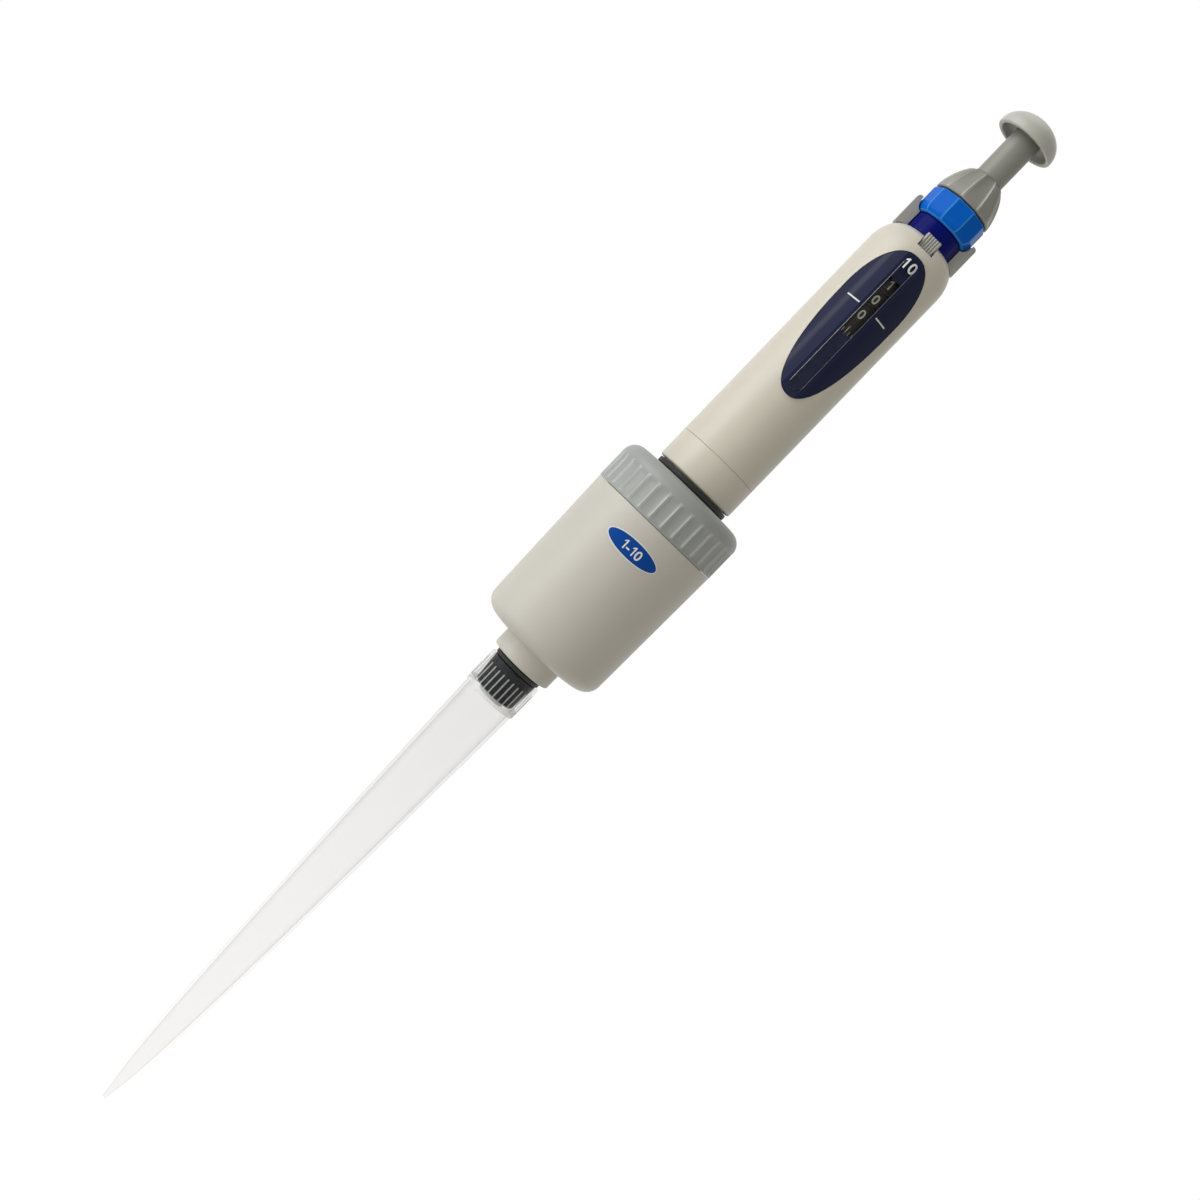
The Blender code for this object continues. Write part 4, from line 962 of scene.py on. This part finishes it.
def make_drum(node, digit_at, front_digit, graduated=False):
    low, top = foot(node), head(node)
    edge = low if graduated else low + RIM_DROP
    outline = [
        (DRUM_RIM, top),
        (DRUM_RIM, top - RIM_DROP),
        (DRUM_RADIUS, top - RIM_DROP, 0.1),
        (DRUM_RADIUS, edge, 0.1),
    ]
    if not graduated:
        outline += [(DRUM_RIM, edge), (DRUM_RIM, low)]
    outline += [(DRUM_BORE, low), (DRUM_BORE, top)]
    stand_for(lathe(node + "_black", outline, DRUM_BLACK, DRUM_ROUND), node)
    for digit in range(10):
        azimuth = -math.pi / 2 - (digit - front_digit) * TURN / 10
        skin = round_the_axis(drum_surface, azimuth, digit_at)
        name = f"{node}_digit_{digit}"
        printed(lettering(name, str(digit), DIGIT_TALL, skin, DRUM_PRINT), node)
    if graduated:
        for step in range(GRADUATIONS):
            azimuth = -math.pi / 2 - step * TURN / GRADUATIONS
            length = SHORT_TICK if step % 5 else LONG_TICK
            skin = round_the_axis(drum_surface, azimuth, low + TICK_FOOT + length / 2)
            tick = patch(f"{node}_tick_{step}", bar(TICK_WIDE, length), skin, DRUM_PRINT, 0.03)
            printed(tick, node)


def make_counter():
    for node, front in (("tens_drum", 1), ("units_drum", 0)):
        make_drum(node, (foot(node) + head(node)) / 2, front)
    top = head("tenths_drum")
    make_drum("tenths_drum", top - RIM_DROP - DIGIT_BAND / 2, 0, True)


# Core, lock ring, knob, stem and button

CORE_NECK = 6.6
CORE_BORE = 5.9
CORE_FOOT = 1.4
CORE_FOOT_RADIUS = 9.0


def make_core():
    low, top = foot("core_sleeve"), head("core_sleeve")
    ledge = foot("lock_ring") - GAP
    outline = [
        (CORE_NECK, top, 0.2),
        (CORE_NECK, ledge),
        (CORE_RADIUS, ledge, 0.2),
        (CORE_RADIUS, low + CORE_FOOT),
        (CORE_FOOT_RADIUS, low + CORE_FOOT, 0.3),
        (CORE_FOOT_RADIUS, low),
        (CORE_BORE, low),
        (CORE_BORE, top),
    ]
    stand_for(lathe("core_sleeve_blue", outline, CORE_BLUE), "core_sleeve")


RING_FLATS = 10
RING_BORE = 6.75
RING_SIDE = 7.6
RING_LOW_ROUND = 2.6
RING_LOW_INSET = 1.8
RING_CORNER = 0.93  # share of half a flat, where its corner's bevel starts
RING_BEVEL = 0.06


def ring_foot(steps=12):
    """The round lower edge of the lock ring, from its side down."""
    points = []
    for i in range(steps + 1):
        angle = math.pi / 2 * i / steps
        inset, rise = RING_LOW_INSET * (1 - math.cos(angle)), RING_LOW_ROUND * (1 - math.sin(angle))
        points.append((girth("lock_ring") - inset, foot("lock_ring") + rise))
    return points


def make_ring():
    low, top, radius = foot("lock_ring"), head("lock_ring"), girth("lock_ring")
    half = math.pi / RING_FLATS
    outline = [(radius, top, 0.7)] + ring_foot()
    outline += [(RING_BORE, low), (RING_BORE, top)]

    def from_flat(turn):
        """How far round it is from the middle of a flat, where 0.5 is a corner."""
        return abs((turn * RING_FLATS + 0.5) % 1 - 0.5)

    def relief(turn, reach, height):
        if reach < 7:
            return 0
        off_centre = from_flat(turn) * 2 * half
        flat = reach * (1 - math.cos(half) / math.cos(off_centre))
        most = reach * (1 - math.cos(half))
        eased = min(flat, most) if off_centre < RING_CORNER * half else flat + RING_BEVEL
        return eased * (1 - 0.5 * max(0, 1 - (height - low) / RING_LOW_ROUND))

    piece = lathe("lock_ring_blue", outline, RING_BLUE, 24 * RING_FLATS, relief, longest=0.9)

    # Painted highlight on the corners between flats, the top edge and the foot
    def edges(turn, reach, height):
        side_edge = from_flat(turn) > 0.455 or height > top - 0.45
        foot_edge = height < low + 0.35 and reach > RING_BORE + 0.2
        return foot_edge or (reach > RING_SIDE and side_edge)

    paint(piece, RING_EDGE_HIGHLIGHT, edges)
    stand_for(piece, "lock_ring")


KNOB_FLUTES = 10
KNOB_FLUTE_DEPTH = 0.95
KNOB_BELL = 1.4
KNOB_STEPS = 26
KNOB_SKIRT = 0.8
KNOB_NECK = 4.6
KNOB_BORE = 4.25
KNOB_SOCKET = 5.45
KNOB_SOCKET_DEPTH = 5.3


def make_knob():
    low, top, base = foot("volume_knob"), head("volume_knob"), girth("volume_knob")
    bell = top - low - KNOB_SKIRT
    outline = []
    for i in range(KNOB_STEPS + 1):
        angle = math.pi / 2 * i / KNOB_STEPS
        height = top - bell * (1 - max(0, math.cos(angle)) ** KNOB_BELL)
        outline.append((KNOB_NECK + (base - KNOB_NECK) * math.sin(angle) ** KNOB_BELL, height))
    deep = low + KNOB_SOCKET_DEPTH
    outline += [(base, low, 0.3), (KNOB_SOCKET, low), (KNOB_SOCKET, deep)]
    outline += [(KNOB_BORE, deep), (KNOB_BORE, top, 0.2)]

    def relief(turn, reach, height):
        if reach < KNOB_NECK - 0.1 or height < low + 0.6:
            return 0
        share = min(1, max(0, (top - height) / bell))
        depth = KNOB_FLUTE_DEPTH * math.sin(math.pi * (0.08 + 0.80 * share**0.6)) ** 0.8
        ridge = abs(math.cos(math.pi * turn * KNOB_FLUTES)) ** 0.55
        return depth * ridge

    knob = lathe("volume_knob_grey", outline, STEM_GREY, 24 * KNOB_FLUTES, relief)

    # Each flute's ridge gets the painted highlight
    def ridges(turn, reach, height):
        off = abs(turn * KNOB_FLUTES % 1 - 0.5)
        return reach > KNOB_NECK and height > low + 0.5 and off < 0.075

    paint(knob, KNOB_RIDGE_HIGHLIGHT, ridges)
    stand_for(knob, "volume_knob")


STEM_RADIUS = 4.1
STEM_BORE = 3.15
STEM_BORE_DEPTH = 19.3
PIN_RADIUS = 2.5
PIN_TALL = 2.5


def make_stem():
    low, top = foot("plunger_stem"), head("plunger_stem")
    outline = [
        (0, top),
        (PIN_RADIUS, top),
        (PIN_RADIUS, top - PIN_TALL),
        (STEM_RADIUS, top - PIN_TALL),
        (STEM_RADIUS, low, 0.3),
        (STEM_BORE, low),
        (STEM_BORE, low + STEM_BORE_DEPTH),
        (0, low + STEM_BORE_DEPTH),
    ]
    stand_for(lathe("plunger_stem_grey", outline, STEM_GREY, longest=5), "plunger_stem")


BUTTON_WALL = 1.3
BUTTON_LIP = 1.0
BUTTON_EDGE = 0.45
BUTTON_HUB = 4.4
SOCKET_RADIUS = PIN_RADIUS + CLEARANCE
SOCKET_DEPTH = 2.5
DOME_STEPS = 24
HOLLOW_STEPS = 16


def make_button():
    low, top, radius = foot("push_button"), head("push_button"), girth("push_button")
    lip = low + BUTTON_LIP
    ceiling = head("plunger_stem") - 2.2
    outline = [(0, top)]
    for i in range(1, DOME_STEPS + 1):
        angle = math.pi / 2 * i / DOME_STEPS
        outline.append((radius * math.sin(angle), lip + (top - lip) * math.cos(angle)))
    inside = radius - BUTTON_WALL
    outline += [(radius, low, BUTTON_EDGE), (inside, low, BUTTON_EDGE)]
    for i in range(1, HOLLOW_STEPS + 1):
        angle = math.pi / 2 * i / HOLLOW_STEPS
        reach = BUTTON_HUB + (inside - BUTTON_HUB) * math.cos(angle)
        outline.append((reach, lip + (ceiling - lip) * math.sin(angle)))
    deep = ceiling + SOCKET_DEPTH
    outline += [(SOCKET_RADIUS, ceiling), (SOCKET_RADIUS, deep), (0, deep)]
    stand_for(lathe("push_button_grey", outline, BUTTON_GREY), "push_button")


LATCH_RIBS = 6
LATCH_RIB_DEPTH = 0.35
LATCH_BACK = CORE_RADIUS + GAP
LATCH_FRONT = CORE_RADIUS + 1.8
LATCH_INSET = 0.1


def make_latch():
    low, top, half = foot("latch_tab"), head("latch_tab"), girth("latch_tab")
    outline = [(half, -LATCH_BACK), (-half, -LATCH_BACK), (-half, -LATCH_FRONT)]
    points = 8 * LATCH_RIBS
    for i in range(points + 1):
        share = i / points
        rib = LATCH_RIB_DEPTH * abs(math.sin(math.pi * share * LATCH_RIBS)) ** 0.7
        across = (half - LATCH_INSET) * (2 * share - 1)
        outline.append((across, -LATCH_FRONT - rib))
    outline.append((half, -LATCH_FRONT))
    stand_for(slab("latch_tab_grey", outline, low, top, PLAN, HOOK_PAINTED_SHADE), "latch_tab")


# Finger hook

HOOK_INSIDE = CORE_RADIUS + GAP
HOOK_OUTSIDE = 10.6
HOOK_TOP = head("finger_hook")
HOOK_DROP = 8.2
HOOK_REACH = 37.65
HOOK_THICK = 4.0
HOOK_END = 3.4
HOOK_WIDTH = 15.0
HOOK_EDGE = 1.2
HOOK_WEB = 3.6
HOOK_OPENING = math.radians(164)


def make_hook():
    low = foot("finger_hook")
    under = HOOK_TOP - HOOK_THICK
    collar = [(HOOK_OUTSIDE, HOOK_TOP, 1.0), (HOOK_OUTSIDE, low), (HOOK_INSIDE, low)]
    collar.append((HOOK_INSIDE, HOOK_TOP, 0.4))
    # The hook takes the darker grey copy of the ivory, its shade painted in
    hook = lathe("finger_hook_grey", collar, HOOK_PAINTED_SHADE, HOOK_ROUND, longest=3)
    side = rounded(
        [
            (HOOK_INSIDE / 2, HOOK_TOP),
            (HOOK_REACH, HOOK_TOP, 5.5),
            (HOOK_REACH, HOOK_TOP - HOOK_DROP, 1.6),
            (HOOK_REACH - HOOK_END, HOOK_TOP - HOOK_DROP, 1.6),
            (HOOK_REACH - HOOK_END, under, 3.0),
            (HOOK_OUTSIDE + 1, under, 3.0),
            (HOOK_OUTSIDE + 1, under - HOOK_WEB),
            (HOOK_INSIDE / 2, low),
        ]
    )
    half = HOOK_WIDTH / 2
    carve(hook, slab("tongue_tool", side, -half, half, SIDE, HOOK_PAINTED_SHADE, HOOK_EDGE), "UNION")
    above, below = HOOK_TOP + PAST, low - PAST
    bore = [(0, above), (girth("lock_ring") + GAP, above)]
    bore += [(radius + GAP, height - GAP) for radius, height in ring_foot()]
    bore += [(HOOK_INSIDE, foot("lock_ring") - GAP), (HOOK_INSIDE, below), (0, below)]
    carve(hook, lathe("bore_tool", bore, HOOK_PAINTED_SHADE, HOOK_ROUND))
    far = 2 * HOOK_OUTSIDE
    x, y = far * math.sin(HOOK_OPENING / 2), far * math.cos(HOOK_OPENING / 2)
    wedge = [(0, 0), (-x, -y), (-x, -far), (x, -far), (x, -y)]
    carve(hook, slab("opening_tool", wedge, below, above, PLAN, HOOK_PAINTED_SHADE))
    around = [(0, RIM_TOP + GAP)] + shoulder(GAP)
    around += [(HANDLE_RADIUS + GAP, SHELL_BOTTOM), (0, SHELL_BOTTOM)]
    carve(hook, lathe("shoulder_tool", around, HOOK_PAINTED_SHADE, HOOK_ROUND))
    stand_for(hook, "finger_hook")


# Springs

# Node, wire, turns, joint and how far the joint presses it
SPRINGS = (
    ("main_spring", 0.8, 5, "plunger_press", 12.5),
    ("blowout_spring", 0.9, 3, "second_stop_slide", 1.5),
)
COIL_STEPS = 36
WIRE_SIDES = 12
END_PITCH = 1.15  # of an end turn, in wire thicknesses


def coil(name, node, wire, turns, material):
    """A closed-end coil spring as tall and as wide as the CAD node it stands for."""
    radius, half = girth(node) - wire / 2, wire / 2
    low, high = foot(node) + half, head(node) - half
    closed = END_PITCH * wire
    body = bmesh.new()
    rings = []
    for i in range(turns * COIL_STEPS + 1):
        turn = i / COIL_STEPS
        open_share = min(max((turn - 1) / (turns - 2), 0), 1)
        height = low + closed * min(turn, 1) + closed * max(turn - turns + 1, 0)
        height += (high - low - 2 * closed) * open_share
        angle = TURN * turn
        outward = Vector((math.cos(angle), math.sin(angle), 0))
        centre = outward * radius
        loop = []
        for k in range(WIRE_SIDES):
            side = TURN * k / WIRE_SIDES
            spot = centre + outward * half * math.cos(side)
            loop.append(body.verts.new(place(spot.x, spot.y, height + half * math.sin(side))))
        rings.append(loop)
    for one, two in zip(rings, rings[1:]):
        for k in range(WIRE_SIDES):
            after = (k + 1) % WIRE_SIDES
            body.faces.new((one[k], one[after], two[after], two[k]))
    body.faces.new(rings[0])
    body.faces.new(rings[-1])
    return stand_for(from_bmesh(name, body, material), node)


def make_springs():
    """Both springs stand on the guide's flange."""
    for node, wire, turns, joint, travel in SPRINGS:
        spring = coil(node + "_coil", node, wire, turns, SPRING_STEEL)
        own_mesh(spring)


# Nodes that show as they are

def dress_nodes():
    """Every CAD node that still shows gets the finish of its slot."""
    for name, node in frame["nodes"].items():
        node.data.materials.clear()
        node.data.materials.append(FINISH[SLOT_OF[name]])


# Room, light and camera

FLOOR_RADIUS = 1.6
FLOOR_PLACE = (0, 0.25, AXIS.z - 0.03)
FLOOR_GREY = (0.8, 0.8, 0.8, 1)
FLOOR_GLOW = 0.8
AMBIENT = (0.235, 0.225, 0.195)


def looked_at(tree):
    """One for rays from the camera and those that pass through or off gloss, else nought."""
    path = add_node(tree, "ShaderNodeLightPath")
    shown = path.outputs["Is Camera Ray"]
    for kind in ("Is Transmission Ray", "Is Glossy Ray"):
        either = add_node(tree, "ShaderNodeMath", operation="MAXIMUM")
        tree.links.new(shown, either.inputs[0])
        tree.links.new(path.outputs[kind], either.inputs[1])
        shown = either.outputs[0]
    return shown


def make_floor():
    """A plain floor that looks white and keeps the object's soft shadow."""
    bpy.ops.mesh.primitive_circle_add(vertices=96, radius=FLOOR_RADIUS, fill_type="NGON")
    floor = bpy.context.object
    floor.name = "floor"
    floor.location = FLOOR_PLACE
    material, tree, shader = principled("floor_white", Base_Color=FLOOR_GREY, Roughness=0.9)
    scaled = add_node(tree, "ShaderNodeMath", operation="MULTIPLY")
    tree.links.new(looked_at(tree), scaled.inputs[0])
    scaled.inputs[1].default_value = FLOOR_GLOW
    glow = add_node(tree, "ShaderNodeEmission")
    tree.links.new(scaled.outputs[0], glow.inputs["Strength"])
    both = add_node(tree, "ShaderNodeAddShader")
    tree.links.new(shader.outputs["BSDF"], both.inputs[0])
    tree.links.new(glow.outputs["Emission"], both.inputs[1])
    tree.links.new(both.outputs[0], tree.nodes["Material Output"].inputs["Surface"])
    floor.data.materials.append(material)


def make_world():
    """A white background that lights the object only as much as the ambient says."""
    world = bpy.data.worlds.new("studio")
    bpy.context.scene.world = world
    world.use_nodes = True
    tree = world.node_tree
    colour = ramp(tree, looked_at(tree), [(0, AMBIENT), (1, (1, 1, 1))])
    tree.links.new(colour, tree.nodes["Background"].inputs["Color"])


AIM_HEIGHT = 190
# Name, place, size, power, colour and the height of a strip
LAMPS = (
    ("key", (-0.79, -0.31, 0.18), 1.0, 5.1, (1, 1, 1), None),
    ("top", (-0.10, 0.10, 0.62), 0.5, 0.5, (1, 1, 1), None),
    ("front", (-0.12, -0.95, -0.02), 0.5, 0.6, (1, 0.96, 0.88), None),
    ("left_strip", (-0.72, -0.33, -0.10), 0.10, 0.9, (1, 1, 1), 0.8),
    ("right_strip", (0.55, -0.62, -0.12), 0.07, 0.35, (1, 0.93, 0.84), 0.7),
)


def make_lamp(name, spot, size, power, colour, tall):
    """A round soft lamp, or an upright strip where its height is given."""
    light = bpy.data.lights.new(name, "AREA")
    light.shape = "RECTANGLE" if tall else "DISK"
    light.size = size
    if tall:
        light.size_y = tall
    light.energy = power
    light.color = colour
    lamp = bpy.data.objects.new(name, light)
    bpy.context.scene.collection.objects.link(lamp)
    lamp.location = spot
    lamp.rotation_mode = "QUATERNION"
    aim = place(0, 0, AIM_HEIGHT) - Vector(spot)
    lamp.rotation_quaternion = aim.to_track_quat("-Z", "Y")


CAMERA_DISTANCE = 0.430
CAMERA_SHIFT = 0.00315
CAMERA_AZIMUTH = math.radians(4)
CAMERA_ROLL = math.radians(46.0)
HALF_VIEW = 0.158
EYE_HEIGHT = 212.0
VIEW_HEIGHT = 188.4
# How much of the drop from the eye to the view's middle is lens shift; the rest is tilt
SHIFT_SHARE = 0.4
SENSOR = 36


def make_camera():
    data = bpy.data.cameras.new("camera")
    data.sensor_width = SENSOR
    data.lens = SENSOR / 2 * CAMERA_DISTANCE / HALF_VIEW
    data.clip_start = 0.01
    camera = bpy.data.objects.new("camera", data)
    bpy.context.scene.collection.objects.link(camera)
    level = Vector((math.sin(CAMERA_AZIMUTH), math.cos(CAMERA_AZIMUTH), 0))
    right = Vector((math.cos(CAMERA_AZIMUTH), -math.sin(CAMERA_AZIMUTH), 0))
    drop = (VIEW_HEIGHT - EYE_HEIGHT) * MM
    ahead = level * CAMERA_DISTANCE + Vector((0, 0, drop * (1 - SHIFT_SHARE)))
    ahead.normalize()
    up = right.cross(ahead)
    image_right = up * math.cos(CAMERA_ROLL) + right * math.sin(CAMERA_ROLL)
    image_up = up * math.sin(CAMERA_ROLL) - right * math.cos(CAMERA_ROLL)
    turn = Matrix((image_right, image_up, -ahead)).transposed().to_4x4()
    shift = drop * SHIFT_SHARE / (2 * HALF_VIEW)
    data.shift_x = shift * up.dot(image_right)
    data.shift_y = shift * up.dot(image_up)
    spot = place(0, 0, EYE_HEIGHT) + right * CAMERA_SHIFT - level * CAMERA_DISTANCE
    camera.matrix_world = Matrix.Translation(spot) @ turn
    bpy.context.scene.camera = camera


def make_room():
    make_floor()
    make_world()
    for lamp in LAMPS:
        make_lamp(*lamp)
    bpy.context.scene.view_settings.view_transform = "Standard"


def main():
    make_camera()
    dress_nodes()
    make_tip()
    make_cone()
    make_barrel()
    make_cap()
    make_badge()
    make_handle()
    make_window()
    make_lens()
    make_window_marks()
    make_counter()
    make_core()
    make_ring()
    make_knob()
    make_stem()
    make_button()
    make_latch()
    make_hook()
    make_springs()
    make_room()


main()
